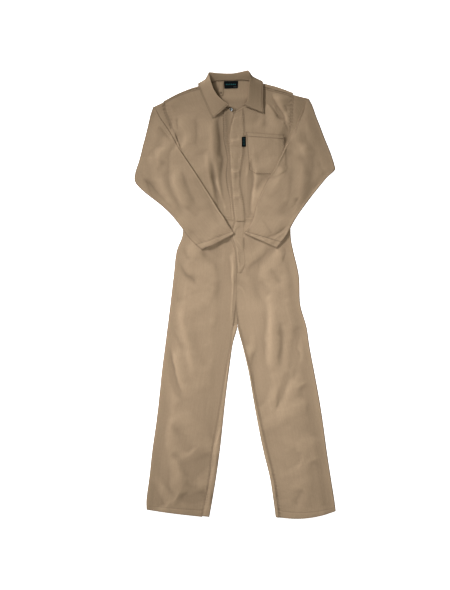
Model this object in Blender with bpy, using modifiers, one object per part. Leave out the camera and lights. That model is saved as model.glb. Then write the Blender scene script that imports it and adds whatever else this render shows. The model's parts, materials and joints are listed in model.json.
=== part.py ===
"""Boiler suit laid flat on its back, with both sleeves folded across the front.

Tables and layer heights are in millimetres. X runs to the wearer's left, Y to the collar, Z up from the
surface that the suit lies on, and the origin is under the middle of the whole suit. Left and right, and the
endings _l and _r, are the wearer's. Heights are those of the middle of the cloth.
"""

import math

import bmesh
import bpy
from mathutils import Vector

MM = 0.001

# Cloth and the layers that it lies in
WALL = 1.5
SEAM_GAP = 0.3
LAYER = WALL + SEAM_GAP
FLOOR_Z = WALL / 2
EDGE_Z = FLOOR_Z + LAYER
FRONT_Z = 5.9
UNDERLAP_Z = 4.1
OVERLAP_Z = UNDERLAP_Z + 2 * LAYER
SLEEVE_Z = 11.6
SLEEVE_HOLLOW = 3.9
SLEEVE_LIP = 2.1

# Where the right front runs under the left one, across and down to the crotch
UNDERLAP_FADE = (-85.0, -55.0)
OVERLAP_FADE = (42.0, 100.0)
CROTCH_FADE = (-110.0, 40.0)
CROTCH_Y = -115.0
CROTCH_TURN = 4.0

# How far from a panel's side it rounds down to the back, and where its folds begin
EDGE_ROUND = (-8.0, 22.0)
FOLD_MARGIN = (10.0, 40.0)
ARMHOLE_FADE = (585.0, 640.0)
PANEL_COLUMNS = (0, 0.045, 0.11, 0.22, 0.35, 0.48, 0.6, 0.72, 0.83, 0.93, 1)

# The back passes over the collar's fall at the neck
NECK_FALL_RAISE = 2.3
NECK_FALL_Y = (715, 745)
NECK_FALL_R = (-170, -135)
NECK_FALL_L = (105, 140)
# Ends of the neckline, where the shoulders' wrap fades out
NECK_END_R = (-122, -108)
NECK_END_L = (82, 94)

HEM_BOW_L = 14
HEM_BOW_FADE = (0.85, 1.0)
SLEEVE_FOLD_INSET = 2.0
SLEEVE_LIP_WIDTH = 10.0
LABEL_WALL = 0.8
STUD_RADIUS = 7.0
STUD_HEIGHT = 2.6
STUD_PLACE = (-13.0, 693.0)


def table(columns, *rows):
    """A short table by column name. Each column is read as a smooth curve from 0, its first row, to 1."""
    names = columns.split()
    return {name: [row[i] for row in rows] for i, name in enumerate(names)}


def read(column, t):
    """Catmull-Rom through a column's values."""
    last = len(column) - 1
    place = min(max(t, 0.0), 1.0) * last
    i = min(int(place), last - 1)
    f = place - i
    p1, p2 = column[i], column[i + 1]
    p0 = column[i - 1] if i > 0 else 2 * p1 - p2
    p3 = column[i + 2] if i + 2 <= last else 2 * p2 - p1
    curve = (p2 - p0) * f + (2 * p0 - 5 * p1 + 4 * p2 - p3) * f**2 + (3 * p1 - p0 - 3 * p2 + p3) * f**3
    return p1 + curve / 2


def ease(value, start, end):
    """0 before start, 1 after end, and a smooth step between."""
    t = min(max((value - start) / (end - start), 0.0), 1.0)
    return t * t * (3 - 2 * t)


def mix(a, b, t):
    return a + (b - a) * t


def along_line(points, place):
    """Second value of a line through pairs, straight between them, at a place on the first value."""
    for (start, value), (end, next_value) in zip(points, points[1:]):
        if place <= end:
            return mix(value, next_value, max(place - start, 0.0) / (end - start))
    return points[-1][1]


# ---- Outlines ----------------------------------------------------------------------------------------------

# Trouser legs, waist to hem: outseam, inseam of the back, and the seam where the front joins it
LEG_R = table(
    "out_x out_y in_x in_y seam_x",
    (-194, 275, 9.5, 275, 23),
    (-197, 219, 9.5, 219, 23),
    (-219, 159, 9.5, 159, 23),
    (-229, 73, 9.5, 73, 23),
    (-240, -21, 9.5, -25, 5),
    (-252, -119, 8, -117, -7),
    (-261, -190, -8, -186, -14),
    (-274, -291, -22, -284, -33),
    (-285, -400, -36, -396, -51),
    (-296, -490, -46, -490, -67),
    (-309, -580, -56, -580, -83),
    (-320, -681, -70, -681, -95),
    (-331, -764, -84, -767, -110),
    (-331, -807, -96, -833, -123),
)
LEG_L = table(
    "out_x out_y in_x in_y seam_x",
    (208, 275, 10.5, 275, -3),
    (210, 211, 10.5, 219, -18),
    (220, 159, 10.5, 159, 0),
    (240, 69, 10.5, 69, 4),
    (245, -36, 10.5, -36, 4),
    (268, -119, 12, -119, 16),
    (280, -197, 29, -194, 34),
    (297, -287, 51, -287, 58),
    (317, -396, 70, -396, 79),
    (332, -494, 88, -494, 100),
    (345, -591, 108, -591, 122),
    (360, -689, 131, -685, 145),
    (373, -771, 144, -767, 158),
    (378, -812, 153, -835, 166),
)

# Back of the bodice: its sides from waist to shoulder tip
BACK_SIDES = table(
    "right_x right_y left_x left_y",
    (-194, 276, 208, 276),
    (-236, 343, 225, 346),
    (-266, 429, 238, 436),
    (-279, 511, 248, 530),
    (-245, 556, 222, 570),
    (-230, 600, 211, 620),
    (-243, 648, 211, 665),
    (-258, 688, 213, 712),
    (-268, 722, 218, 755),
)
# Its top edge, over the shoulders and round the neck
BACK_TOP = (
    (-268, 723), (-236, 741), (-206, 756), (-168, 771), (-142, 779), (-127, 781), (-105, 788),
    (-71, 799), (-15, 802), (42, 802), (75, 796), (92, 789), (113, 789), (150, 780), (188, 767), (218, 755),
)  # fmt: skip
# How far the back comes forward over the shoulders, to the seam with the fronts
SHOULDER_WRAP = (
    (-268, 3), (-206, 4), (-127, 7), (-105, 3), (-90, 2),
    (75, 2), (92, 8), (105, 14), (150, 15), (218, 10),
)  # fmt: skip

# Fronts of the bodice, shoulder to waist: armhole and side, then neckline and front edge
FRONT_R = table(
    "side_x side_y edge_x edge_y",
    (-267, 717, -127, 772),
    (-258, 684, -110, 738),
    (-243, 648, -75, 711),
    (-231, 616, -26, 698),
    (-226, 586, 5, 664),
    (-234, 556, 17, 622),
    (-258, 530, 19, 575),
    (-279, 511, 19, 523),
    (-266, 429, 19, 433),
    (-236, 343, 21, 346),
    (-194, 276, 23, 276),
)
FRONT_L = table(
    "side_x side_y edge_x edge_y",
    (214, 745, 103, 775),
    (211, 714, 94, 740),
    (210, 684, 68, 714),
    (209, 654, 32, 706),
    (208, 624, -2, 681),
    (210, 590, -20, 631),
    (225, 560, -27, 579),
    (248, 538, -24, 523),
    (238, 436, -20, 436),
    (225, 346, -12, 346),
    (208, 276, -3, 276),
)

# Bands down the front opening, neck to waist: both long edges
PLACKET = table(
    "left_x left_y right_x right_y",
    (-4, 676, 33, 699),
    (-18, 631, 38, 631),
    (-25, 579, 38, 579),
    (-22, 523, 34, 523),
    (-19, 466, 25, 466),
    (-15, 410, 23, 410),
    (-10, 346, 36, 346),
    (-1, 290, 42, 290),
)
UNDER_BAND = table(
    "left_x left_y right_x right_y",
    (-46, 690, -3, 702),
    (-45, 628, 11, 640),
    (-43, 579, 14, 579),
    (-30, 511, 14, 511),
    (-35, 448, 14, 448),
    (-28, 391, 14, 391),
    (-20, 354, 15, 354),
    (-16, 280, 16, 280),
)
FLY = table(
    "left_x left_y right_x right_y",
    (-1, 271, 36, 271),
    (-14, 225, 34, 219),
    (0, 175, 39, 175),
    (5, 118, 43, 118),
    (8, 80, 31, 80),
)

# Sleeves, shoulder to cuff: the outer fold, the inner fold that shows, and the end of the layer below,
# which is sewn to the armhole at the top and to the inner fold below it
SLEEVE_R = table(
    "out_x out_y in_x in_y tail_x tail_y tail_z",
    (-306, 703, -298, 697, -268.6, 717, FRONT_Z),
    (-316, 673, -280, 663, -259.4, 684, FRONT_Z),
    (-325, 635, -256, 629, -245, 650, FRONT_Z),
    (-334, 598, -234, 594, -234, 620, 6.6),
    (-345, 556, -210, 549, -219, 575, SLEEVE_Z),
    (-358, 504, -180, 504, -184, 504, SLEEVE_Z),
    (-373, 457, -146, 453, -150, 452, SLEEVE_Z),
    (-374.6, 425, -118, 410, -122, 409, SLEEVE_Z),
    (-356, 399, -99, 380, -103, 379, SLEEVE_Z),
    (-318, 367, -80, 350, -84, 348, SLEEVE_Z),
    (-277, 335, -60, 316, -64, 314, SLEEVE_Z),
    (-238, 298, -41, 290, -45, 288, SLEEVE_Z),
    (-204, 256, -26, 264, -30, 262, SLEEVE_Z),
    (-168, 208, -13, 245, -17, 243, SLEEVE_Z),
    (-122, 164, -2, 229, -6, 227, SLEEVE_Z),
)
SLEEVE_L = table(
    "out_x out_y in_x in_y tail_x tail_y tail_z",
    (276, 734, 267, 725, 215, 744, FRONT_Z),
    (291, 706, 253, 688, 212.2, 710, FRONT_Z),
    (304, 669, 238, 652, 211.2, 676, FRONT_Z),
    (319, 631, 225, 618, 210.5, 643, 6.6),
    (336, 586, 205, 583, 209, 605, SLEEVE_Z),
    (358, 532, 180, 534, 184, 534, SLEEVE_Z),
    (373, 485, 156, 485, 160, 485, SLEEVE_Z),
    (374, 466, 133, 448, 137, 448, SLEEVE_Z),
    (345, 438, 109, 403, 113, 403, SLEEVE_Z),
    (314, 401, 92, 365, 96, 365, SLEEVE_Z),
    (280, 358, 79, 331, 83, 331, SLEEVE_Z),
    (244, 309, 69, 292, 73, 292, SLEEVE_Z),
    (218, 268, 60, 268, 64, 268, SLEEVE_Z),
    (195, 224, 47, 245, 51, 244, SLEEVE_Z),
    (158, 174, 34, 229, 38, 228, SLEEVE_Z),
)

# Collar, from the right front round the back of the neck to the left front: neck seam, roll and free edge.
# drape is how steeply the fall drops from the roll
COLLAR = table(
    "seam_x seam_y seam_z roll_x roll_y roll_z edge_x edge_y edge_z drape",
    (-25, 705, 12.0, -22, 710, 14.5, -84, 658, 8.6, 1.2),
    (-48, 713, 11.5, -50, 731, 20, -97, 684, 8.8, 1.2),
    (-78, 731, 10.5, -73, 757, 24, -112, 718, 9.2, 1.2),
    (-101, 753, 9.5, -84, 781, 26, -127, 752, 10, 1.2),
    (-114, 776, 9.0, -91, 802, 26, -138, 783, 10.5, 1.6),
    (-110, 785, 8.0, -94, 818, 25, -133, 792, 1.2, 4),
    (-106, 793, 7.0, -96, 832, 22, -122, 768, 0.75, 9),
    (-71, 801, 5.6, -60, 830, 17, -80, 757, 0.75, 10),
    (-15, 804, 5.2, -15, 829, 16, -15, 753, 0.75, 10),
    (42, 804, 5.6, 19, 834, 18, 45, 755, 0.75, 10),
    (76, 798, 7.0, 48, 839, 23, 84, 771, 0.75, 9),
    (84, 790, 8.0, 52, 826, 26, 93, 800, 1.2, 4),
    (89, 779, 9.0, 54, 812, 27, 105, 794, 10.5, 1.6),
    (86, 757, 9.5, 51, 778, 27, 106, 757, 10.5, 1.2),
    (70, 736, 10.5, 50, 745, 24, 105, 721, 11, 1.2),
    (52, 718, 12, 45, 722, 19, 107, 697, 10.2, 1.2),
    (32, 705, 12.5, 33, 709, 15.5, 109, 678, 9.2, 1.2),
)

POCKET = table(
    "left_x left_y right_x right_y",
    (42, 608, 184, 597),
    (46, 560, 184, 550),
    (50, 508, 184, 500),
    (53, 466, 184, 463),
)
POCKET_CHAMFER = 15
POCKET_EASE = 0.4

# The largest folds: each is a soft band from one end to the other, a trough where its height is negative
FOLDS = table(
    "x0 y0 x1 y1 width height",
    (-24, 130, -26, 40, 44, -1.4),
    (-26, 40, -46, -260, 50, -2.8),
    (-46, -260, -66, -450, 46, -2.4),
    (-62, 60, -82, -300, 60, 1.8),
    (-215, 120, -150, 55, 40, -2.0),
    (-255, -185, -212, -395, 44, -2.4),
    (-266, -390, -278, -600, 46, -2.2),
    (-235, -400, -205, -700, 60, 1.8),
    (-225, -520, -175, -575, 44, -2.0),
    (88, 20, 104, -260, 50, -2.6),
    (104, -260, 98, -420, 46, -2.4),
    (140, 60, 150, -300, 60, 1.8),
    (262, -125, 165, -430, 42, -2.2),
    (150, -560, 235, -620, 44, -2.2),
    (300, -680, 330, -760, 46, -2.0),
    (120, 750, 200, 640, 42, -2.2),
    (95, 745, 150, 690, 44, 1.8),
    (-60, 660, -40, 500, 40, -1.4),
)


def folds(x, y):
    """Height that the folds add at a point. Each fades out at its sides and ends."""
    total = 0.0
    for x0, y0, x1, y1, width, height in zip(*FOLDS.values()):
        run = Vector((x1 - x0, y1 - y0))
        along = Vector((x - x0, y - y0)).dot(run) / run.length_squared
        if not 0 < along < 1:
            continue
        off = abs((x - x0) * run.y - (y - y0) * run.x) / run.length
        if off < width / 2:
            total += height * math.cos(math.pi * off / width) ** 2 * math.sin(math.pi * along) ** 0.5
    return total


# ---- Heights of the panels ---------------------------------------------------------------------------------


def back_z(x, y):
    """The back lies flat, and passes over the collar's fall at the neck."""
    over_fall = ease(y, *NECK_FALL_Y) * ease(x, *NECK_FALL_R) * (1 - ease(x, *NECK_FALL_L))
    return FLOOR_Z + NECK_FALL_RAISE * over_fall


def front_r_z(x, y):
    return mix(FRONT_Z, UNDERLAP_Z, ease(x, *UNDERLAP_FADE) * ease(y, *CROTCH_FADE))


def front_l_z(x, y):
    return mix(FRONT_Z, OVERLAP_Z, (1 - ease(x, *OVERLAP_FADE)) * ease(y, *CROTCH_FADE))


def under_band_z(x, y):
    return UNDERLAP_Z + LAYER


def placket_z(x, y):
    return OVERLAP_Z + LAYER


# The body's sides below the sleeves, as (y, x), and how far beyond them a sleeve comes down
SIDE_R = (
    (160, -222), (219, -197), (275, -194), (343, -236), (429, -266),
    (511, -279), (535, -262), (556, -240), (600, -228), (723, -268),
)  # fmt: skip
SIDE_L = (
    (160, 222), (211, 212), (276, 208), (346, 225), (436, 238),
    (530, 249), (548, 240), (570, 222), (620, 211), (755, 216),
)  # fmt: skip
SLEEVE_DROP = (6.0, 60.0)


def sleeve_under_z(x, y, side, tail_z):
    """A sleeve's lower layer lies on the front, and beyond the bodice's side it drops to the surface."""
    beyond = along_line(SIDE_R, y) - x if side < 0 else x - along_line(SIDE_L, y)
    return mix(tail_z, FLOOR_Z, ease(beyond, *SLEEVE_DROP))


# ---- Making cloth ------------------------------------------------------------------------------------------

for startup_object in list(bpy.data.objects):
    bpy.data.objects.remove(startup_object, do_unlink=True)

suit = bpy.data.collections.new("boiler_suit")
bpy.context.scene.collection.children.link(suit)


def plain_material(name, colour, roughness=0.85, metallic=0.0):
    material = bpy.data.materials.new(name)
    material.use_nodes = True
    shader = material.node_tree.nodes["Principled BSDF"]
    shader.inputs["Base Color"].default_value = (*colour, 1.0)
    shader.inputs["Roughness"].default_value = roughness
    shader.inputs["Metallic"].default_value = metallic
    return material


def even(count):
    return [i / count for i in range(count + 1)]


def sheet(name, across, along, place, colour, wall=WALL, even_wall=True):
    """A wall of cloth on a grid, whose middle is where place(across, along) says, in millimetres."""
    mesh = bpy.data.meshes.new(name)
    grid = bmesh.new()
    columns, rows = len(across) - 1, len(along) - 1
    bmesh.ops.create_grid(grid, x_segments=columns, y_segments=rows, size=0.5)
    for vert in grid.verts:
        u = across[round((vert.co.x + 0.5) * columns)]
        v = along[round((vert.co.y + 0.5) * rows)]
        vert.co = Vector(place(u, v)) * MM
    grid.to_mesh(mesh)
    grid.free()
    obj = bpy.data.objects.new(name, mesh)
    suit.objects.link(obj)
    mesh.materials.append(plain_material(name, colour))
    mesh.shade_smooth()
    wall_modifier = obj.modifiers.new("wall", "SOLIDIFY")
    wall_modifier.thickness = wall * MM
    wall_modifier.offset = 0
    wall_modifier.use_even_offset = even_wall
    return obj


def ruled(edges, u, v, first, second):
    """The point at u along the line between two edge curves, at row v."""
    x = mix(read(edges[first + "_x"], v), read(edges[second + "_x"], v), u)
    y = mix(read(edges[first + "_y"], v), read(edges[second + "_y"], v), u)
    return x, y


TWILL = (0.33, 0.26, 0.18)
BLACK = (0.012, 0.014, 0.014)
NICKEL = (0.62, 0.64, 0.66)


def bow(hem_bow, u, v):
    """How far the hem hangs below a straight line between its two ends."""
    return hem_bow * 4 * u * (1 - u) * ease(v, *HEM_BOW_FADE)


def leg_front(name, edges, front_z, hem_bow):
    """Front of a leg. Its outseam edge rounds down to the back."""

    def place(u, v):
        x = mix(read(edges["out_x"], v), read(edges["seam_x"], v), u)
        y = mix(read(edges["out_y"], v), read(edges["in_y"], v), u)
        y -= bow(hem_bow, u, v)
        inside = abs(x - read(edges["out_x"], v))
        z = front_z(x, y) + folds(x, y) * ease(inside, *FOLD_MARGIN)
        return x, y, mix(EDGE_Z, z, ease(inside, *EDGE_ROUND))

    return sheet(name, PANEL_COLUMNS, even(30), place, TWILL)


def leg_back(name, edges, front_z, hem_bow):
    """Back of a leg. Below the crotch it turns up at the inseam and comes forward to the front's seam."""
    levels = ("out_x", "in_x", "seam_x")

    def place(u, v):
        out_x, in_x, seam_x = (read(edges[key], v) for key in levels)
        side = math.copysign(1.0, in_x - out_x)
        y0, y1 = read(edges["out_y"], v), read(edges["in_y"], v)
        top = front_z(seam_x, y1)
        turned = ease(y1, CROTCH_Y + CROTCH_TURN, CROTCH_Y - CROTCH_TURN)
        turn = (top - FLOOR_Z) / 2
        flat_end = in_x - side * (4 - u)
        lip_end = seam_x + side * 2 * SEAM_GAP
        lip_start = in_x - side * min(turn, abs(in_x - lip_end) / 2)
        x, z = {
            2: (in_x, FLOOR_Z + turn),
            3: (lip_start, top),
            4: (lip_end, top),
        }.get(u, (mix(out_x, in_x - side * max(turn, 3), u), FLOOR_Z))
        if u > 1:
            x, z = mix(flat_end, x, turned), mix(FLOOR_Z, z, turned)
        t = min((x - out_x) / (in_x - out_x), 1.0)
        return x, mix(y0, y1, t) - bow(hem_bow, t, v), z

    return sheet(name, [0, 0.5, 0.9, 1, 2, 3, 4], even(28), place, TWILL, even_wall=False)


def shoulder_seam_y(x):
    return along_line(BACK_TOP, x) - along_line(SHOULDER_WRAP, x)


def back_bodice():
    """Back, waist to neck. It turns over the shoulders and comes forward to the seams with the fronts."""

    def place(u, v):
        x, y = ruled(BACK_SIDES, u, min(v, 1), "right", "left")
        top_x = mix(BACK_SIDES["right_x"][-1], BACK_SIDES["left_x"][-1], u)
        level = mix(BACK_SIDES["right_y"][-1], BACK_SIDES["left_y"][-1], u)
        top_y = along_line(BACK_TOP, top_x)
        y += (top_y - level) * ease(v, 0.45, 1)
        if v < 1:
            return x, y, back_z(x, y)
        low = back_z(x, top_y)
        on_shoulder = 1 - ease(top_x, *NECK_END_R) * (1 - ease(top_x, *NECK_END_L))
        turn = (FRONT_Z - low) / 2
        wrap = along_line(SHOULDER_WRAP, top_x)
        over = {1: (turn, low), 2: (0, low + turn), 3: (min(turn, wrap / 2), FRONT_Z), 4: (wrap, FRONT_Z)}
        inset, z = over[v]
        return x, top_y - mix(4.0 - v, inset, on_shoulder), mix(low, z, on_shoulder)

    return sheet("back_bodice", even(26), [*[t * 0.97 for t in even(13)], 1, 2, 3, 4], place, TWILL)


def bodice_front(name, edges, front_z):
    """Front, shoulder to waist. Its side rounds down to the back below the armhole."""
    first_rows = 1.5 / (len(edges["side_x"]) - 1)

    def place(u, v):
        x, y = ruled(edges, u, v, "side", "edge")
        seam_x, seam_y = ruled(edges, u, 0, "side", "edge")
        y += (shoulder_seam_y(seam_x) - 3 * SEAM_GAP - seam_y) * (1 - ease(v, 0, first_rows))
        inside = abs(x - read(edges["side_x"], v))
        z = front_z(x, y) + folds(x, y) * ease(v, 0, 0.08)
        low = mix(EDGE_Z, z, ease(inside, *EDGE_ROUND))
        return x, y, mix(low, z, ease(y, *ARMHOLE_FADE))

    return sheet(name, PANEL_COLUMNS, even(24), place, TWILL)


def band(name, edges, z_at, across, rows, colour=TWILL):
    """A strip that lies on a panel, between its left and right edges."""

    def place(u, v):
        x, y = ruled(edges, u, v, "left", "right")
        return x, y, z_at(x, y)

    return sheet(name, even(across), even(rows), place, colour)


def chest_pocket():
    def place(u, v):
        x, y = ruled(POCKET, u, v, "left", "right")
        y -= POCKET_CHAMFER * min(1, u / 0.2, (1 - u) / 0.2) * v**4
        return x, y, front_l_z(x, y) + folds(x, y) + LAYER + POCKET_EASE

    return sheet("chest_pocket", [0, 0.1, 0.2, 0.4, 0.6, 0.8, 0.9, 1], even(7), place, TWILL)


def sleeve(name, edges, side):
    """A sleeve wrapped round flat: lower layer from the tail to the outer fold, upper layer back to the inner
    fold, and a lip turned under it, as at a felled underarm seam."""
    lower = {"low0": 0, "low1": 0.25, "low2": 0.5, "low3": 0.75, "low4": 0.95}
    upper = {"up0": 0.03, "up1": 0.14, "up2": 0.32, "up3": 0.52, "up4": 0.72, "up5": 0.88, "up6": 0.985}

    def place(station, v):
        out, inner, tail = (
            Vector((read(edges[key + "_x"], v), read(edges[key + "_y"], v))) for key in ("out", "in", "tail")
        )
        tail_z = read(edges["tail_z"], v)
        across = (inner - out).normalized()
        out_z = sleeve_under_z(*out, side, tail_z)
        if station in lower:
            at = mix(tail, out + across * SLEEVE_FOLD_INSET, lower[station])
            return *at, sleeve_under_z(*at, side, tail_z)
        if station == "out":
            return *out, out_z + SLEEVE_HOLLOW / 2
        if station in upper:
            at = mix(out, inner, upper[station])
            return *at, sleeve_under_z(*at, side, tail_z) + SLEEVE_HOLLOW
        inner_z = sleeve_under_z(*inner, side, tail_z) + SLEEVE_HOLLOW
        if station == "in":
            return *inner, inner_z - SLEEVE_LIP / 2
        lip_end = min(SLEEVE_LIP_WIDTH, (inner - out).length / 2)
        return *(inner - across * (SLEEVE_FOLD_INSET if station == "lip0" else lip_end)), inner_z - SLEEVE_LIP

    return sheet(name, [*lower, "out", *upper, "in", "lip0", "lip1"], even(22), place, TWILL)


def collar():
    """Collar with its stand: up from the neck seam to the roll, over it, and down to the free edge."""
    stand = {0: 0, 1: 0.5, 2: 0.88}
    fall = {3: 0, 4: 0.035, 5: 0.12, 6: 0.3, 7: 0.62, 8: 1}

    def place(station, v):
        seam, roll, edge = (
            Vector([read(COLLAR[f"{line}_{axis}"], v) for axis in "xyz"]) for line in ("seam", "roll", "edge")
        )
        if station in stand:
            return mix(seam, roll, stand[station])
        t = fall[station]
        at = mix(roll, edge, t)
        at.z = max(mix(edge.z, roll.z, (1 - t) ** max(read(COLLAR["drape"], v), 1)), FLOOR_Z)
        return at

    return sheet("collar", list(range(9)), even(34), place, TWILL, even_wall=False)


def neck_tab():
    """Narrow strap with a round end, hanging inside the back of the neck."""
    centre_x, half_width, top_y, end_y = -51.5, 8.5, 797, 745
    tip = 0.06

    def place(u, v):
        y = mix(top_y, end_y, v)
        to_end = min((y - end_y) / half_width, 1)
        x = centre_x + half_width * (2 * u - 1) * math.sqrt(max(1 - (1 - to_end) ** 2, tip))
        return x, y, back_z(x, y) + LAYER

    return sheet("neck_tab", even(2), [0, 0.3, 0.6, 0.84, 0.88, 0.92, 0.96, 0.985, 1], place, TWILL)


def labels():
    neck = table("left_x left_y right_x right_y", (-41, 799, 12, 800.5), (-39, 771, 11, 772.5))
    pocket = table("left_x left_y right_x right_y", (26, 590, 41, 591), (26, 553, 41, 554))
    lift = WALL / 2 + SEAM_GAP + LABEL_WALL / 2

    def lay(name, edges, z_at):
        def place(u, v):
            x, y = ruled(edges, u, v, "left", "right")
            return x, y, z_at(x, y) + lift

        sheet(name, even(2), even(2), place, BLACK, LABEL_WALL)

    lay("neck_label", neck, back_z)
    lay("pocket_label", pocket, placket_z)


def press_stud():
    """Round cap of the press stud, on the top of the right front's band."""
    base = UNDERLAP_Z + LAYER + WALL / 2 + SEAM_GAP
    rim, dish_radius, dish_floor_radius, dish_z = 0.9, 3.4, 2.8, 1.7
    shoulder = STUD_RADIUS - 1.4
    dish = ((dish_radius, STUD_HEIGHT), (dish_floor_radius, dish_z))
    profile = ((STUD_RADIUS, rim), (shoulder, STUD_HEIGHT), *dish)
    cap = bmesh.new()
    size = {"radius1": STUD_RADIUS, "radius2": STUD_RADIUS, "depth": rim}
    bmesh.ops.create_cone(cap, cap_ends=True, segments=20, **size)
    top = max(cap.faces, key=lambda face: face.calc_center_median().z)
    for (radius, z), (next_radius, next_z) in zip(profile, profile[1:]):
        bmesh.ops.inset_region(cap, faces=[top], thickness=radius - next_radius)
        for vert in top.verts:
            vert.co.z += next_z - z
    for vert in cap.verts:
        vert.co = (vert.co + Vector((*STUD_PLACE, base + rim / 2))) * MM
    mesh = bpy.data.meshes.new("press_stud")
    cap.to_mesh(mesh)
    cap.free()
    mesh.materials.append(plain_material("press_stud", NICKEL, 0.3, 1.0))
    mesh.shade_smooth()
    mesh.set_sharp_from_angle(angle=math.radians(35))
    suit.objects.link(bpy.data.objects.new("press_stud", mesh))


leg_back("back_leg_r", LEG_R, front_r_z, 0)
leg_back("back_leg_l", LEG_L, front_l_z, HEM_BOW_L)
leg_front("front_leg_r", LEG_R, front_r_z, 0)
leg_front("front_leg_l", LEG_L, front_l_z, HEM_BOW_L)
band("fly", FLY, placket_z, 3, 12)

back_bodice()
bodice_front("front_bodice_r", FRONT_R, front_r_z)
bodice_front("front_bodice_l", FRONT_L, front_l_z)
band("under_placket", UNDER_BAND, under_band_z, 4, 18)
band("placket", PLACKET, placket_z, 4, 18)
chest_pocket()

sleeve("sleeve_r", SLEEVE_R, -1)
sleeve("sleeve_l", SLEEVE_L, 1)
collar()
neck_tab()
labels()
press_stud()
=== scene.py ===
import json
import math
from functools import partial

import bmesh
import bpy
import numpy as np
from mathutils import Matrix, Vector
from mathutils.bvhtree import BVHTree

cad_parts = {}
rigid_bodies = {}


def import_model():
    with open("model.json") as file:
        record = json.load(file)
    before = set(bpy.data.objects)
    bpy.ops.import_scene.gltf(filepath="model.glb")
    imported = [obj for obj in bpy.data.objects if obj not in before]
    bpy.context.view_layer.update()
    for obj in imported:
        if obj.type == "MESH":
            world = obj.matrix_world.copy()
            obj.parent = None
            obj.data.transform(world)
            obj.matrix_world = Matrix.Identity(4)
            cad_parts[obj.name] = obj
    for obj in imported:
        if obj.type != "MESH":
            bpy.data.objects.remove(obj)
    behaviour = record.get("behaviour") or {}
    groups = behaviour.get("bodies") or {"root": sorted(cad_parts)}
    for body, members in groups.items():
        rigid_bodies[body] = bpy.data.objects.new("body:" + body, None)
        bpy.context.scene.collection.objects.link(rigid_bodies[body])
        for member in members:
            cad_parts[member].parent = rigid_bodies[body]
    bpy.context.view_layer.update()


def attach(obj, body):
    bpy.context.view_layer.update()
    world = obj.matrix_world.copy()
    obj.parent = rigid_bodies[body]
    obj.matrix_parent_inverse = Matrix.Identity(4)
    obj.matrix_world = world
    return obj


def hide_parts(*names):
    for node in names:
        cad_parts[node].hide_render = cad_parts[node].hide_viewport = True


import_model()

# The boiler suit lies on its back. Tables are in millimetres: x to the wearer's left, y to the collar,
# z up from the table. Left and right are the wearer's.
mm = 0.001

# small tools

def ease(value, start, end):  # 0 before start, 1 after end, smooth between
    t = np.clip((value - start) / (end - start), 0.0, 1.0)
    return t * t * (3 - 2 * t)


def mix(a, b, t):
    return a + (b - a) * t


def nearTo(distance, width):  # 1 on a line, fading to 0 away from it
    return np.exp(-((distance / width) ** 2))


def alongRows(rows, column, t):  # smooth curve through one column of a table, t from 0 to 1
    values = np.array([row[column] for row in rows], float)
    place = np.clip(t, 0, 1) * (len(values) - 1)
    i = np.minimum(place.astype(int), len(values) - 2)
    f = place - i
    ends = np.concatenate([[2 * values[0] - values[1]], values, [2 * values[-1] - values[-2]]])
    p0, p1, p2, p3 = (ends[i + k] for k in range(4))
    curve = (p2 - p0) * f + (2 * p0 - 5 * p1 + 4 * p2 - p3) * f**2 + (3 * p1 - p0 - 3 * p2 + p3) * f**3
    return p1 + curve / 2


def between(rows, u, v):  # points across a table, from its first two columns to its next two
    x = mix(alongRows(rows, 0, v), alongRows(rows, 2, v), u)
    y = mix(alongRows(rows, 1, v), alongRows(rows, 3, v), u)
    return x, y


def smoothPath(points, steps=8):  # the same kind of curve through a few points
    t = np.linspace(0, 1, steps * (len(points) - 1) + 1)
    return np.stack([alongRows(points, k, t) for k in range(len(points[0]))], 1)


def softNoise(x, y, size, seed, stretch=1.0):  # rounded random bumps, -1 to 1, one about every size
    lattice = np.random.default_rng(seed).uniform(-1, 1, (64, 64))
    turn = 0.35 * seed
    gx = (x * math.cos(turn) - y * math.sin(turn)) / size + 40
    gy = (x * math.sin(turn) + y * math.cos(turn)) / (size * stretch) + 40
    ix, iy = np.floor(gx).astype(int), np.floor(gy).astype(int)
    fx, fy = gx - ix, gy - iy
    fx, fy = fx**3 * (fx * (6 * fx - 15) + 10), fy**3 * (fy * (6 * fy - 15) + 10)
    low = mix(lattice[ix % 64, iy % 64], lattice[(ix + 1) % 64, iy % 64], fx)
    high = mix(lattice[ix % 64, (iy + 1) % 64], lattice[(ix + 1) % 64, (iy + 1) % 64], fx)
    return mix(low, high, fy)


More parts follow.
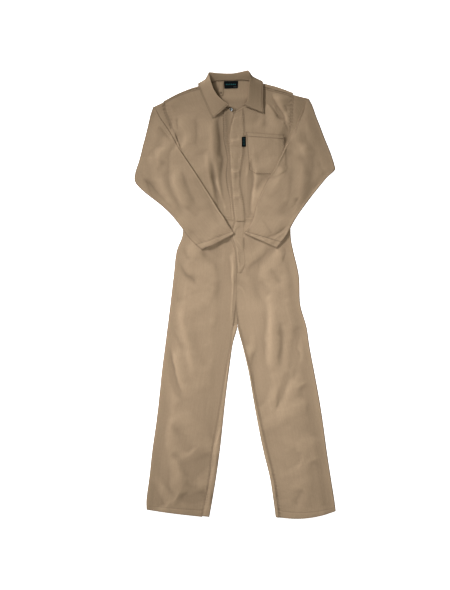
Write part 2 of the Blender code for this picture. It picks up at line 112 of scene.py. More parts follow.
def creaseHeight(creases, x, y):  # each crease: height, width to its left and right, path
    x, y = np.broadcast_arrays(x, y)
    total = np.zeros(x.shape)
    x = x + 2.2 * softNoise(x, y, 46, 3) + 0.8 * softNoise(x, y, 17, 4)
    y = y + 2.2 * softNoise(x, y, 52, 5)
    for height, left, right, path in creases:
        line = smoothPath(path)
        reach = 5.2 * max(left, right) + 14
        near = (x > line[:, 0].min() - reach) & (x < line[:, 0].max() + reach)
        near &= (y > line[:, 1].min() - reach) & (y < line[:, 1].max() + reach)
        if not near.any():
            continue
        px, py = x[near], y[near]
        gap, side, place = np.full(px.shape, 1e9), np.zeros(px.shape), np.zeros(px.shape)
        for k, (start, end) in enumerate(zip(line, line[1:])):
            run = end - start
            t = np.clip(((px - start[0]) * run[0] + (py - start[1]) * run[1]) / (run @ run), 0, 1)
            dx, dy = px - start[0] - t * run[0], py - start[1] - t * run[1]
            distance = np.hypot(dx, dy)
            closer = distance < gap
            gap = np.where(closer, distance, gap)
            side = np.where(closer, run[0] * dy - run[1] * dx, side)
            place = np.where(closer, (k + t) / (len(line) - 1), place)
        width = np.where(side > 0, right, left)
        fade = 1.05 * ease(place, -0.06, 0.3) * (1 - ease(place, 0.7, 1.06))
        length = np.hypot(*np.diff(line, axis=0).T).sum()
        shallow = 0.3 + 0.7 * min(1, length / 190)  # short creases aren't as deep
        uneven = (1 + 0.25 * softNoise(px, py, 38, 6)) * shallow
        shape = 0.5 * nearTo(gap, width) + 0.72 * nearTo(gap, 2.1 * width + 7)
        total[near] += height * uneven * fade * shape
    return total


def wrinkles(x, y):  # the cloth's own unevenness where no crease is placed
    broad = 2.4 * softNoise(x, y, 105, 11, 1.8) + 1.1 * softNoise(x, y, 44, 12, 1.6)
    fine = 0.32 * softNoise(x, y, 17, 13, 1.4) + 0.1 * softNoise(x, y, 8, 14)
    return broad + fine


def above(z, low, soft=1.2):  # keeps a layer over another, with no hard edge
    return 0.5 * (z + low + np.sqrt((z - low) ** 2 + soft**2))


def spread(count):  # steps across a panel, closer together at both its edges
    s = np.linspace(0, 1, count + 1)
    return 0.55 * s + 0.45 * (1 - np.cos(math.pi * s)) / 2


def deselectAll():
    bpy.ops.object.select_all(action="DESELECT")


def applyTransform():
    bpy.ops.object.transform_apply(location=True, rotation=True, scale=True)


def setMode(mode):
    bpy.ops.object.mode_set(mode=mode)


def finishPiece(piece, nodes):
    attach(piece, "root")
    if nodes:
        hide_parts(*nodes)


# cloth

cloth = {"wall": 0.9, "deepLine": 3.2, "deepValley": 6.5}


def lengthsAlong(points, axis):
    steps = np.linalg.norm(np.diff(points, axis=axis), axis=2)
    start = np.zeros_like(np.take(steps, [0], axis=axis))
    return np.cumsum(np.concatenate([start, steps], axis=axis), axis=axis)


def around(z, cells):  # each point's height averaged with its neighbours
    for axis in (0, 1):
        wide = np.pad(z, [(cells, cells) if a == axis else (0, 0) for a in (0, 1)], mode="edge")
        count = z.shape[axis]
        z = sum(np.take(wide, range(i, i + count), axis) for i in range(2 * cells + 1)) / (2 * cells + 1)
    return z


def makeSheet(
    name, x, y, z, material, node, wall=cloth["wall"], sewn=None, folded=None, plainEnds=(), sunkShade=0
):  # fmt: skip
    # one panel of cloth from its rows of points, with a wall and a pattern map in metres along the grain
    points = np.stack(np.broadcast_arrays(x, y, z), -1).astype(float)
    rows, columns = points.shape[:2]
    deselectAll()
    bpy.ops.mesh.primitive_grid_add(x_subdivisions=columns - 1, y_subdivisions=rows - 1, size=1)
    piece = bpy.context.object
    piece.name = piece.data.name = name
    mesh = piece.data
    at = np.empty(len(mesh.vertices) * 3, np.float32)
    mesh.vertices.foreach_get("co", at)
    at = at.reshape(-1, 3)
    column = np.rint((at[:, 0] + 0.5) * (columns - 1)).astype(int)
    row = np.rint((at[:, 1] + 0.5) * (rows - 1)).astype(int)
    mesh.vertices.foreach_set("co", (points[row, column] * mm).astype(np.float32).ravel())
    across, down = lengthsAlong(points, 1), lengthsAlong(points, 0)
    middle = across[:, columns // 2 : columns // 2 + 1]
    grain = np.stack([across - middle, np.broadcast_to(down.mean(1, keepdims=True), across.shape)], -1) * mm
    corner = np.empty(len(mesh.loops), np.int32)
    mesh.loops.foreach_get("vertex_index", corner)
    uv = grain[row[corner], column[corner]].astype(np.float32)
    mesh.uv_layers.active.data.foreach_set("uv", uv.ravel())
    toEdge = np.minimum(across, across[:, -1:] - across)
    if "first" not in plainEnds:
        toEdge = np.minimum(toEdge, down)
    if "last" not in plainEnds:
        toEdge = np.minimum(toEdge, down[-1:] - down)

    def mark(attribute, values):  # a value at every point, which the material reads
        values = np.broadcast_to(values, (rows, columns))[row, column].astype(np.float32)
        mesh.attributes.new(attribute, "FLOAT", "POINT").data.foreach_set("value", values)

    # the edge band: painted shade darkening the cloth along its rims and folded edges, and lighter worn
    # edges on the label
    mark("edgeShadeAndWear", 1 - ease(toEdge, 0.5, 5.0) if folded is None else folded)
    # sewn lines are darkened in the material: painted shade in their pulled-in channel, partly real dirt
    if sewn is not None:  # how close a sewn line is, 1 on the line
        mark("sewnLine", sewn)
    if min(rows, columns) > 30:  # how deep in a crease, or how high on a ridge, for painted shade in the creases and a painted highlight on the ridges
        high = points[..., 2]
        deep = (around(high, 3) - high) / cloth["deepLine"] + (around(high, 10) - high) / cloth["deepValley"]
        mark("hollow", np.clip(deep * ease(toEdge, 1, 6) + sunkShade, -0.5, 1))
    mesh.materials.append(material)
    thickness = piece.modifiers.new("wall", "SOLIDIFY")
    thickness.thickness = wall * mm
    thickness.offset = 0
    bpy.ops.object.modifier_apply(modifier=thickness.name)
    bpy.ops.object.shade_smooth_by_angle(angle=math.radians(50))
    finishPiece(piece, [node])
    return piece


# materials


def addSocket(group, name, side, kind, value=None):
    socket = group.interface.new_socket(name=name, in_out=side, socket_type=kind)
    if value is not None:
        socket.default_value = value
    return socket


def mathNode(tree, operation, first, second=None):
    node = tree.nodes.new("ShaderNodeMath")
    node.operation = operation
    for socket, value in zip(node.inputs, (first, second)):
        if isinstance(value, (int, float)):
            socket.default_value = value
        elif value is not None:
            tree.links.new(value, socket)
    return node.outputs[0]


def twillGroup():  # the weave: fine diagonal ribs, streaky yarns along the grain, and a soft mottle
    group = bpy.data.node_groups.new("twillWeave", "ShaderNodeTree")
    addSocket(group, "Colour", "INPUT", "NodeSocketColor", (0.4, 0.3, 0.2, 1))
    inputs = {
        "Rib Pitch": 0.0011, "Streaks": 0.10, "Mottle": 0.10,
        "Edge Shade And Wear": 0.05, "Seam Shade And Dirt": 0.3, "Crease Shade And Highlight": 0.3,
    }  # fmt: skip
    for name, value in inputs.items():
        addSocket(group, name, "INPUT", "NodeSocketFloat", value)
    for name, kind in (("Colour", "Color"), ("Height", "Float"), ("Roughness", "Float")):
        addSocket(group, name, "OUTPUT", "NodeSocket" + kind)
    tree, nodes, links = group, group.nodes, group.links
    times, plus, minus = (partial(mathNode, tree, kind) for kind in ("MULTIPLY", "ADD", "SUBTRACT"))
    given, out = nodes.new("NodeGroupInput"), nodes.new("NodeGroupOutput")
    place = nodes.new("ShaderNodeTexCoord")
    split = nodes.new("ShaderNodeSeparateXYZ")
    links.new(place.outputs["UV"], split.inputs[0])
    diagonal = plus(split.outputs[0], times(split.outputs[1], 0.7))
    turns = mathNode(tree, "DIVIDE", diagonal, given.outputs["Rib Pitch"])
    rib = mathNode(tree, "SINE", times(turns, 2 * math.pi))
    ribHalf = times(rib, 0.5)

    def noise(scale, stretchX, stretchY, detail, source):
        mapping = nodes.new("ShaderNodeMapping")
        mapping.inputs["Scale"].default_value = (stretchX, stretchY, 1)
        links.new(source, mapping.inputs["Vector"])
        texture = nodes.new("ShaderNodeTexNoise")
        texture.inputs["Scale"].default_value = scale
        texture.inputs["Detail"].default_value = detail
        links.new(mapping.outputs[0], texture.inputs["Vector"])
        return minus(texture.outputs[0], 0.5)

    yarns = noise(1, 240, 9, 3, place.outputs["UV"])
    slubs = noise(1, 900, 70, 2, place.outputs["UV"])
    blotch = noise(1, 14, 9, 4, place.outputs["Object"])
    speck = noise(1, 120, 120, 3, place.outputs["Object"])
    streak = times(plus(yarns, slubs), given.outputs["Streaks"])
    cloud = times(plus(blotch, speck), given.outputs["Mottle"])
    ribShade = times(rib, 0.045)
    marks = []
    # the colour is darkened by painted shade along the cloth's rims, beside sewn lines (with some dirt) and
    # in creases, and lightened by a painted highlight on ridges; the label's rims lighten with wear
    amounts = {"edgeShadeAndWear": "Edge Shade And Wear", "sewnLine": "Seam Shade And Dirt", "hollow": "Crease Shade And Highlight"}
    for attribute, amount in amounts.items():
        mark = nodes.new("ShaderNodeAttribute")
        mark.attribute_name = attribute
        marks.append(times(mark.outputs["Fac"], given.outputs[amount]))
    shadeAndWear = minus(minus(marks[0], marks[1]), marks[2])
    tone = plus(plus(plus(streak, cloud), ribShade), shadeAndWear)
    scale = nodes.new("ShaderNodeVectorMath")
    scale.operation = "SCALE"
    links.new(given.outputs["Colour"], scale.inputs[0])
    links.new(plus(tone, 1.0), scale.inputs["Scale"])
    links.new(scale.outputs[0], out.inputs["Colour"])
    height = plus(ribHalf, times(slubs, 1.5))
    links.new(height, out.inputs["Height"])
    links.new(plus(times(streak, 0.8), 0.84), out.inputs["Roughness"])
    return group


twillWeave = twillGroup()


def newMaterial(name):
    material = bpy.data.materials.new(name)
    material.use_nodes = True
    return material, material.node_tree, material.node_tree.nodes["Principled BSDF"]


# the edge amount darkens the rims as painted shade when negative, and lightens worn edges when positive
def clothMaterial(name, colour, ribPitch=0.0011, mottle=0.10, streaks=0.16, shadeAndWear=-0.24, sheen=0.05):
    material, tree, shader = newMaterial(name)
    weave = tree.nodes.new("ShaderNodeGroup")
    weave.node_tree = twillWeave
    values = {
        "Colour": (*colour, 1), "Rib Pitch": ribPitch, "Mottle": mottle, "Streaks": streaks,
        "Edge Shade And Wear": shadeAndWear,
    }  # fmt: skip
    for key, value in values.items():
        weave.inputs[key].default_value = value
    bump = tree.nodes.new("ShaderNodeBump")
    bump.inputs["Strength"].default_value = 0.35
    bump.inputs["Distance"].default_value = 0.0002
    tree.links.new(weave.outputs["Height"], bump.inputs["Height"])
    tree.links.new(bump.outputs[0], shader.inputs["Normal"])
    tree.links.new(weave.outputs["Colour"], shader.inputs["Base Color"])
    tree.links.new(weave.outputs["Roughness"], shader.inputs["Roughness"])
    shader.inputs["Sheen Weight"].default_value = sheen
    shader.inputs["Sheen Roughness"].default_value = 0.5
    shader.inputs["Specular IOR Level"].default_value = 0.12
    return material


def plainMaterial(name, colour, roughness, metallic=0.0):
    material, tree, shader = newMaterial(name)
    texture = tree.nodes.new("ShaderNodeTexNoise")
    place = tree.nodes.new("ShaderNodeTexCoord")
    texture.inputs["Scale"].default_value = 900
    texture.inputs["Detail"].default_value = 3
    tree.links.new(place.outputs["Object"], texture.inputs["Vector"])
    tone = tree.nodes.new("ShaderNodeMix")
    tone.data_type = "RGBA"
    tone.inputs["A"].default_value = (*[c * 0.82 for c in colour], 1)
    tone.inputs["B"].default_value = (*[min(c * 1.15, 1) for c in colour], 1)
    tree.links.new(texture.outputs[0], tone.inputs["Factor"])
    tree.links.new(tone.outputs["Result"], shader.inputs["Base Color"])
    rough = mathNode(tree, "ADD", mathNode(tree, "MULTIPLY", texture.outputs[0], 0.2), roughness - 0.1)
    tree.links.new(rough, shader.inputs["Roughness"])
    shader.inputs["Metallic"].default_value = metallic
    return material


khaki = (0.372, 0.280, 0.196)
twill = clothMaterial("khakiTwill", khaki)
twillBand = clothMaterial("khakiTwillBand", [c * 0.98 for c in khaki], shadeAndWear=-0.14)
labelCloth = clothMaterial("blackLabelWeave", (0.006, 0.008, 0.009), 0.0006, 0.2, 0.2, 0.25, 0.05)
labelMark = plainMaterial("tealLabelYarn", (0.012, 0.12, 0.13), 0.7)
greyYarn = plainMaterial("greyLabelYarn", (0.22, 0.24, 0.24), 0.7)
thread = plainMaterial("khakiThread", (0.30, 0.21, 0.135), 0.75)
nickel = plainMaterial("nickelPlate", (0.62, 0.66, 0.70), 0.26, 1.0)
eyeletDark = plainMaterial("darkBrass", (0.09, 0.07, 0.05), 0.5, 0.6)

# layers, from the table up

layer = {
    "floor": 0.75, "rim": 1.75, "low": 2.6, "front": 5.9, "underlap": 4.1, "overlap": 7.7, "step": 1.8,
    "legCrown": 8, "rightCrown": 9, "leftCrown": 6, "yokeCrown": 7,
    "underlapFade": (-85, -55), "overlapFade": (42, 100), "crotchFade": (-110, 40),
    "rimRound": 4, "rimReach": 55, "lapRise": 3.4, "neckFall": 2.3, "turnLow": 2.4, "shoulderLow": 3.0,
}  # fmt: skip

bodyCreases = [
    # right chest
    (-3, 12, 4, [(-266, 718), (-258, 684), (-244, 646), (-228, 590)]),
    (-2.6, 4, 3, [(-218, 668), (-216, 638), (-210, 612)]),
    (-1, 7, 7, [(-218, 564), (-202, 576), (-184, 578)]),
    (-2.2, 9, 7, [(-90, 504), (-74, 428), (-64, 354)]),
    (-1.5, 9, 9, [(-146, 662), (-142, 598), (-146, 542)]),
    (1.6, 10, 10, [(-108, 542), (-94, 448), (-78, 354)]),
    (-3.6, 5, 4, [(-40, 690), (-38, 620), (-36, 560), (-30, 500), (-26, 430), (-16, 340), (-10, 290)]),
    (1.4, 12, 12, [(-86, 660), (-84, 590), (-76, 520), (-66, 440), (-56, 360)]),
    (-3, 9, 7, [(-92, 470), (-74, 410), (-54, 350), (-34, 296)]),
    (2, 7, 7, [(-74, 440), (-56, 390), (-38, 330), (-24, 290)]),
    # left chest: drag lines from the collar to the armhole, and the gathers at the waist
    (-6, 6, 6, [(112, 768), (140, 730), (170, 684), (196, 640)]),
    (1.6, 10, 9, [(128, 768), (158, 728), (190, 676), (204, 640)]),
    (-3.4, 6, 5, [(110, 736), (134, 706), (158, 676), (186, 648)]),
    (2, 6, 6, [(112, 720), (140, 690), (170, 656)]),
    (-2.4, 4, 4, [(180, 650), (192, 632), (206, 608)]),
    (-1.8, 4, 4, [(188, 714), (194, 698), (200, 680)]),
    (-1.6, 4, 5, [(190, 590), (193, 576), (198, 560)]),
    (-4.5, 6, 6, [(36, 570), (30, 490), (26, 420), (30, 360), (36, 310)]),
    (2.4, 5, 5, [(46, 500), (43, 440), (44, 380), (46, 310)]),
    (-4.5, 6, 6, [(66, 510), (58, 450), (57, 380), (53, 320), (50, 284)]),
    (2, 8, 8, [(80, 480), (76, 420), (72, 360)]),
    (-2.2, 14, 14, [(26, 672), (56, 662), (102, 650)]),
    (-2.5, 10, 10, [(136, 452), (106, 426), (72, 380)]),
    (-2, 7, 6, [(60, 452), (64, 414), (56, 376)]),
    (2, 9, 9, [(80, 414), (64, 336), (56, 302)]),
    (-1.5, 12, 12, [(102, 650), (132, 624), (170, 606)]),
    # right leg
    (-5.5, 12, 4, [(-24, 178), (-22, 36), (-26, -58), (-32, -134), (-40, -232), (-50, -396),
        (-68, -508), (-78, -568)]),
    (2.2, 5, 5, [(-10, 158), (-8, 36), (-12, -58), (-20, -142)]),
    (-4.5, 4.5, 4.5, [(-258, -178), (-244, -216), (-236, -264), (-226, -314), (-214, -358), (-202, -396)]),
    (2.4, 7, 7, [(-240, -186), (-226, -240), (-212, -310), (-196, -370)]),
    (-3.4, 16, 14, [(-206, -380), (-180, -404), (-146, -424), (-100, -436), (-70, -430)]),
    (-4.4, 12, 9, [(-266, -374), (-266, -442), (-278, -524), (-280, -584), (-266, -652), (-248, -718),
        (-220, -764)]),
    (-2.6, 12, 10, [(-240, -490), (-206, -520), (-180, -572), (-164, -594)]),
    (-4, 18, 16, [(-204, -676), (-158, -662), (-120, -634), (-80, -590)]),
    (-2, 12, 10, [(-234, -590), (-206, -624), (-180, -662)]),
    (-5.5, 12, 9, [(-322, -690), (-308, -742), (-286, -772), (-256, -796)]),
    (-3, 7, 5, [(-218, 140), (-202, 102), (-180, 72), (-158, 58), (-142, 36)]),
    (-2.2, 6, 6, [(-228, 38), (-218, 2), (-210, -32)]),
    (-2, 7, 6, [(-194, 186), (-184, 152), (-168, 122)]),
    (-2.4, 8, 6, [(-130, 170), (-100, 140), (-68, 114), (-34, 80)]),
    (-2, 8, 7, [(-104, 178), (-70, 152), (-44, 144)]),
    (-1.6, 7, 5, [(-240, -82), (-232, -126), (-210, -174), (-198, -208)]),
    (-3.6, 16, 14, [(-212, -750), (-178, -768), (-134, -762), (-98, -730)]),
    (-1.2, 14, 14, [(-146, -134), (-130, -208), (-108, -284)]),
    (-1.2, 14, 14, [(-112, -190), (-98, -216), (-78, -232)]),
    (1.8, 14, 14, [(-220, -22), (-184, -172), (-154, -322)]),
    (-1.5, 10, 8, [(-184, -696), (-160, -718), (-130, -726)]),
    (-2.2, 9, 7, [(-34, 204), (-18, 182), (-14, 144)]),
    (-5, 5, 5, [(2, 60), (3, -20), (3, -60), (4, -96), (8, -140)]),
    # left leg
    (-4.5, 10, 8, [(64, 84), (80, 38), (90, -22), (102, -114), (98, -190), (98, -264), (106, -340),
        (102, -396), (86, -426)]),
    (-4, 6, 8, [(158, 174), (128, 158), (106, 132), (80, 106), (50, 92)]),
    (-3, 7, 6, [(50, 92), (64, 72), (80, 50)]),
    (-2.6, 12, 12, [(80, 42), (110, 24), (132, -6)]),
    (-2, 4, 4, [(184, 182), (188, 152), (180, 114)]),
    (-3.4, 8, 6, [(266, -122), (244, -138), (232, -178), (222, -232), (206, -284)]),
    (-3.4, 4, 4, [(206, -284), (196, -322), (180, -358), (166, -392), (154, -438)]),
    (-2.4, 4, 4, [(238, -204), (234, -250), (220, -328)]),
    (-4, 16, 14, [(244, -340), (274, -366), (304, -396), (320, -414)]),
    (-5, 12, 8, [(284, -400), (300, -456), (316, -502), (334, -540)]),
    (-5, 20, 18, [(116, -552), (162, -590), (200, -610), (250, -630)]),
    (-4.6, 14, 10, [(290, -620), (308, -658), (320, -704), (330, -742), (346, -774)]),
    (-2.2, 7, 6, [(256, -726), (240, -760), (230, -794)]),
    (-2.4, 7, 6, [(300, -748), (286, -778), (274, -804)]),
    (-2.6, 6, 6, [(326, -768), (350, -782), (368, -794)]),
    (-4, 4, 4, [(4, 42), (26, 36), (46, 8), (52, -22), (56, -60)]),
    (2.4, 4, 4, [(8, 34), (26, 24), (40, 0), (46, -40)]),
    (-3.4, 3.5, 3.5, [(8, 24), (24, 6), (34, -22), (38, -50)]),
    (-3, 3.5, 3.5, [(6, 4), (18, -12), (24, -44)]),
    (-2.4, 3, 3, [(6, -30), (14, -40), (18, -70)]),
    (-3, 7, 5, [(42, -22), (38, -78), (42, -134), (52, -202)]),
    (-1.8, 8, 8, [(170, -96), (176, -190), (170, -284)]),
    (1.8, 14, 14, [(132, -22), (140, -172), (146, -284)]),
    (-1.6, 8, 8, [(196, 158), (210, 84), (230, -22)]),
    (-1.6, 9, 9, [(132, 98), (154, 68), (170, 38)]),
    (-2, 8, 6, [(68, -208), (82, -292), (86, -366)]),
    (-1.4, 12, 12, [(244, -246), (256, -292), (256, -340)]),
]
# the right front tucks down where it passes under the bands
tuckCreases = [
    (-4.5, 8, 4, [(-48, 684), (-46, 636), (-44, 578), (-36, 542), (-26, 508)]),
    (-5, 9, 4, [(-40, 504), (-38, 458), (-30, 414), (-20, 376), (-14, 332)]),
    (-4, 5, 3, [(-34, 328), (-20, 306), (-8, 276)]),
    (-2, 4, 4, [(-48, 302), (-30, 278), (-10, 252)]),
]


creaseDepth = 2.0  # how much deeper than the tables the body's creases are pressed


def bodyFolds(x, y):
    return creaseDepth * creaseHeight(bodyCreases, x, y) + wrinkles(x, y)


def chestCrown(x, y):  # the fronts puff up between the sides and the bands
    right = layer["rightCrown"] * np.sin(math.pi * np.clip((x + 246) / 200, 0, 1)) ** 0.6
    left = layer["leftCrown"] * np.sin(math.pi * np.clip((x - 38) / 190, 0, 1)) ** 1.1
    yoke = layer["yokeCrown"] * np.sin(math.pi * np.clip((x - 113) / 101, 0, 1)) * (1 - ease(y, 728, 764))
    return (right + left) * ease(y, 285, 380) * (1 - ease(y, 590, 690)) + yoke * ease(y, 560, 660)


def rightFrontZ(x, y):
    under = ease(x, *layer["underlapFade"]) * ease(y, *layer["crotchFade"])
    z = mix(layer["front"], layer["underlap"], under) + bodyFolds(x, y) + chestCrown(x, y)
    return above(z, layer["low"])


def leftFrontZ(x, y):
    over = (1 - ease(x, *layer["overlapFade"])) * ease(y, *layer["crotchFade"])
    z = mix(layer["front"], layer["overlap"], over) + bodyFolds(x, y) + chestCrown(x, y)
    return above(z, layer["low"] + layer["lapRise"] * over)


def bandZ(x, y):  # the placket and fly, one step above the left front where it closes
    return above(layer["overlap"] + bodyFolds(x, y), layer["low"] + layer["lapRise"]) + layer["step"]


def roundedRim(z, inside):  # a panel's side rolls over and comes down to the back
    t = np.clip(inside / layer["rimRound"], 0, 1)
    near = layer["rim"] + 2.0 * np.sqrt(1 - (1 - t) ** 2)
    return mix(near, z, ease(inside, 0, layer["rimReach"]))


backCreases = [
    (1.5, 10, 8, [(-200, 640), (-120, 560), (-60, 430)]),
    (1.3, 9, 9, [(180, 650), (120, 540), (90, 400)]),
    (1.4, 9, 8, [(-180, 120), (-150, -60), (-170, -250)]),
    (1.6, 11, 9, [(-250, -420), (-180, -470), (-120, -460)]),
    (1.3, 9, 9, [(90, 60), (150, -120), (170, -320)]),
    (1.5, 10, 8, [(300, -420), (240, -470), (150, -480)]),
    (1.2, 8, 8, [(-240, -640), (-200, -720), (-150, -770)]),
    (1.2, 8, 8, [(240, -660), (260, -740), (300, -790)]),
]


def backZ(x, y):  # flat on the table, over the collar's fall at the neck, with a few creases pushed up
    fall = ease(y, 715, 745) * ease(x, -170, -135) * (1 - ease(x, 105, 140))
    return layer["floor"] + layer["neckFall"] * fall + np.maximum(creaseHeight(backCreases, x, y), 0)


# legs

legRight = {
    "rows": [  # outX outY inX inY seamX, waist to hem
        (-194, 275, 9.5, 275, 23), (-197, 219, 9.5, 219, 23), (-219, 159, 9.5, 159, 23),
        (-229, 73, 9.5, 73, 23), (-240, -21, 9.5, -25, 5), (-252, -119, 9.7, -117, -7),
        (-261, -190, -8, -186, -14), (-274, -291, -22, -284, -33), (-285, -400, -36, -396, -51),
        (-296, -490, -46, -490, -67), (-309, -580, -56, -580, -83), (-320, -681, -70, -681, -95),
        (-331, -764, -84, -767, -110), (-331, -807, -96, -833, -123),
    ],
    "hemBow": 0, "hemDepth": 32, "side": 1, "waistLap": 5,
}  # fmt: skip
legLeft = {
    "rows": [  # outX outY inX inY seamX, waist to hem
        (208, 275, 10.5, 275, -3), (210, 211, 10.5, 219, -18), (220, 159, 10.5, 159, 0),
        (240, 69, 10.5, 69, 4), (245, -36, 10.5, -36, 4), (268, -119, 10.5, -119, 16),
        (280, -197, 29, -194, 34), (297, -287, 51, -287, 58), (317, -396, 70, -396, 79),
        (332, -494, 88, -494, 100), (345, -591, 108, -591, 122), (360, -689, 131, -685, 145),
        (373, -771, 144, -767, 158), (378, -812, 153, -835, 166),
    ],
    "hemBow": 14, "hemDepth": 32, "side": -1, "waistLap": 5,
}  # fmt: skip
outX, outY, inX, inY, seamX = range(5)


def hemBow(leg, across, v):
    return leg["hemBow"] * 4 * across * (1 - across) * ease(v, 0.85, 1.0)


def toHem(leg, v):
    length = np.abs(alongRows(leg["rows"], outY, 1.0) - alongRows(leg["rows"], outY, 0.0))
    return (1 - v) * length


def hemShape(leg, v):  # the turned hem is thicker, with a line sewn along its top
    toEnd = toHem(leg, v)
    sewn = nearTo(toEnd - leg["hemDepth"], 3.2)
    return 0.4 * (1 - ease(toEnd, leg["hemDepth"] - 4, leg["hemDepth"])) - 0.4 * sewn


def puckers(distance, along, amount, pitch):  # small pulled ripples beside a sewn line
    ripple = np.sin(2 * math.pi * along / pitch + 2.5 * softNoise(along, distance, 30, 21))
    return amount * ripple * nearTo(distance, 9.0) * (0.6 + 0.6 * softNoise(along, 0 * along, 55, 22))


def legFront(name, leg, frontZ, node):
    u, v = spread(76)[None, :], np.linspace(0, 1, 300)[:, None]
    rows = leg["rows"]
    x = mix(alongRows(rows, outX, v), alongRows(rows, seamX, v), u)
    y = mix(alongRows(rows, outY, v), alongRows(rows, inY, v), u) - hemBow(leg, u, v)
    inside = np.abs(x - alongRows(rows, outX, v))
    fromSeam = np.abs(x - alongRows(rows, seamX, v))
    below = 1 - ease(y, -60, 60)
    crown = layer["legCrown"] * np.sin(math.pi * np.clip(u, 0, 1)) ** 1.3 * (0.35 + 0.65 * below)
    crown = crown * ease(v, 0, 0.1) * np.maximum(below, ease(np.abs(x - 10), 45, 115))
    seamGather = puckers(fromSeam, y, 0.55, 13) * (0.35 + 0.65 * below)
    z = frontZ(x, y) + crown + hemShape(leg, v) + seamGather + 0.5 * nearTo(fromSeam, 4)
    z = above(z, layer["low"])
    sewn = 0.45 * nearTo(toHem(leg, v) - leg["hemDepth"], 1.6)
    sewn = np.maximum(sewn, 0.6 * nearTo(fromSeam - 5, 1.2) * (1 - ease(y, -140, -110)))
    underWaist = 1 - ease(v, 0, 0.012)  # its top edge goes on under the bodice, inside the waist seam
    y, z = y + leg["waistLap"] * underWaist, mix(z, np.minimum(z - 1.2, 6.6), underWaist)
    return makeSheet(name, x, y, roundedRim(z, inside), twill, node, sewn=sewn, plainEnds=("first",))


def legBack(name, leg, frontZ, node):
    v = np.linspace(0, 1, 190)[:, None]
    rows, side = leg["rows"], leg["side"]
    flatPart, turnPart, lipPart = np.linspace(0, 1, 26), np.linspace(0, 1, 9)[1:], np.linspace(0, 1, 7)[1:]
    ox, oy, ix, iy, sx = (alongRows(rows, k, v) for k in range(5))
    turned = 1 - ease(iy, -119, -111)
    lipEnd = sx + side * 0.6
    top = above(frontZ(sx, iy) + 0.2, layer["turnLow"])
    turn = np.maximum(np.minimum((top - layer["floor"]) / 2, np.abs(ix - lipEnd) / 2), 0.6)
    flatX = mix(ox, ix - side * turn, flatPart[None, :])
    arc = math.pi * (turnPart[None, :] - 0.5)
    turnX = ix - side * turn * (1 - np.cos(arc))
    turnZ = layer["floor"] + (top - layer["floor"]) * (1 + np.sin(arc)) / 2
    lipX = mix(ix - side * turn, lipEnd, lipPart[None, :])
    lipZ = above(frontZ(lipX, iy) + 0.9 * np.sin(math.pi * lipPart)[None, :], layer["turnLow"])
    lipZ = lipZ + puckers(np.abs(lipX - sx), iy + 0 * lipX, 0.8, 12)
    lipZ = mix(top, lipZ, ease(lipPart[None, :], 0, 0.4))
    open0 = ix - side * 2 * (1 - (turnPart[None, :] - 1) / 2)
    x = np.concatenate([flatX, mix(open0, turnX, turned), mix(ix + 0 * lipX, lipX, turned)], 1)
    t = np.clip((x - ox) / (ix - ox), 0, 1)
    y = mix(oy, iy, t) - hemBow(leg, t, v)
    flatZ = backZ(flatX, mix(oy, iy, flatPart[None, :]))
    z = np.concatenate([flatZ, mix(layer["floor"], turnZ, turned), mix(layer["floor"], lipZ, turned)], 1)
    still = np.linspace(0, 1, turnX.shape[1] + lipX.shape[1])[None, :] * 1.5
    x[:, len(flatPart):] = mix(ix - side * (1.5 - still), x[:, len(flatPart):], turned)
    folded = np.maximum(1 - ease(np.abs(x - ix), 0.5, 4.0), 1 - ease((1 - v) * 1100 + 0 * x, 0.5, 4.0))
    return makeSheet(name, x, y, z, twill, node, folded=folded)


legFront("rightLegFront", legRight, rightFrontZ, "front_leg_r")
legFront("leftLegFront", legLeft, leftFrontZ, "front_leg_l")
legBack("rightLegBack", legRight, rightFrontZ, "back_leg_r")
legBack("leftLegBack", legLeft, leftFrontZ, "back_leg_l")

# the bodice, waist to shoulder

bodiceBack = {
    "sides": [  # rightX rightY leftX leftY, waist to shoulder tip
        (-194, 276, 208, 276), (-236, 343, 225, 346), (-266, 429, 238, 436), (-279, 511, 248, 530),
        (-245, 556, 222, 570), (-230, 600, 211, 620), (-243, 648, 211, 665), (-258, 688, 213, 712),
        (-268, 722, 218, 755),
    ],
    "top": [  # over the shoulders and round the neck
        (-268, 723), (-236, 741), (-206, 756), (-168, 771), (-142, 779), (-127, 781), (-105, 788),
        (-71, 799), (-15, 802), (42, 802), (75, 796), (92, 789), (113, 789), (150, 780), (188, 767),
        (218, 755),
    ],
    "wrap": [  # how far it comes forward over the shoulders
        (-268, 3), (-206, 4), (-127, 7), (-105, 3), (-90, 2),
        (75, 2), (92, 8), (105, 14), (150, 15), (218, 10),
    ],
    "neckRight": (-122, -108), "neckLeft": (82, 94),
}  # fmt: skip
bodiceRight = {
    "rows": [  # sideX sideY edgeX edgeY, shoulder to waist
        (-267, 717, -127, 772), (-258, 684, -110, 738), (-243, 648, -75, 711), (-231, 616, -26, 698),
        (-226, 586, 5, 664), (-234, 556, 17, 622), (-258, 530, 19, 575), (-279, 511, 19, 523),
        (-266, 429, 19, 433), (-236, 343, 21, 346), (-194, 276, 23, 276),
    ],
    "armhole": (585, 640),
}  # fmt: skip
bodiceLeft = {
    "rows": [
        (214, 745, 103, 775), (211, 714, 94, 740), (210, 684, 68, 714), (209, 654, 32, 706),
        (208, 624, -2, 681), (210, 590, -20, 631), (225, 560, -27, 579), (248, 538, -24, 523),
        (238, 436, -20, 436), (225, 346, -12, 346), (208, 276, -3, 276),
    ],
    "armhole": (585, 640),
}  # fmt: skip


def onLine(points, x):  # height of an outline given as points in order
    return np.interp(x, [p[0] for p in points], [p[1] for p in points])


def shoulderSeamY(x):
    return onLine(bodiceBack["top"], x) - onLine(bodiceBack["wrap"], x)


def shoulderZ(x, y):
    return layer["front"] + bodyFolds(x, y)


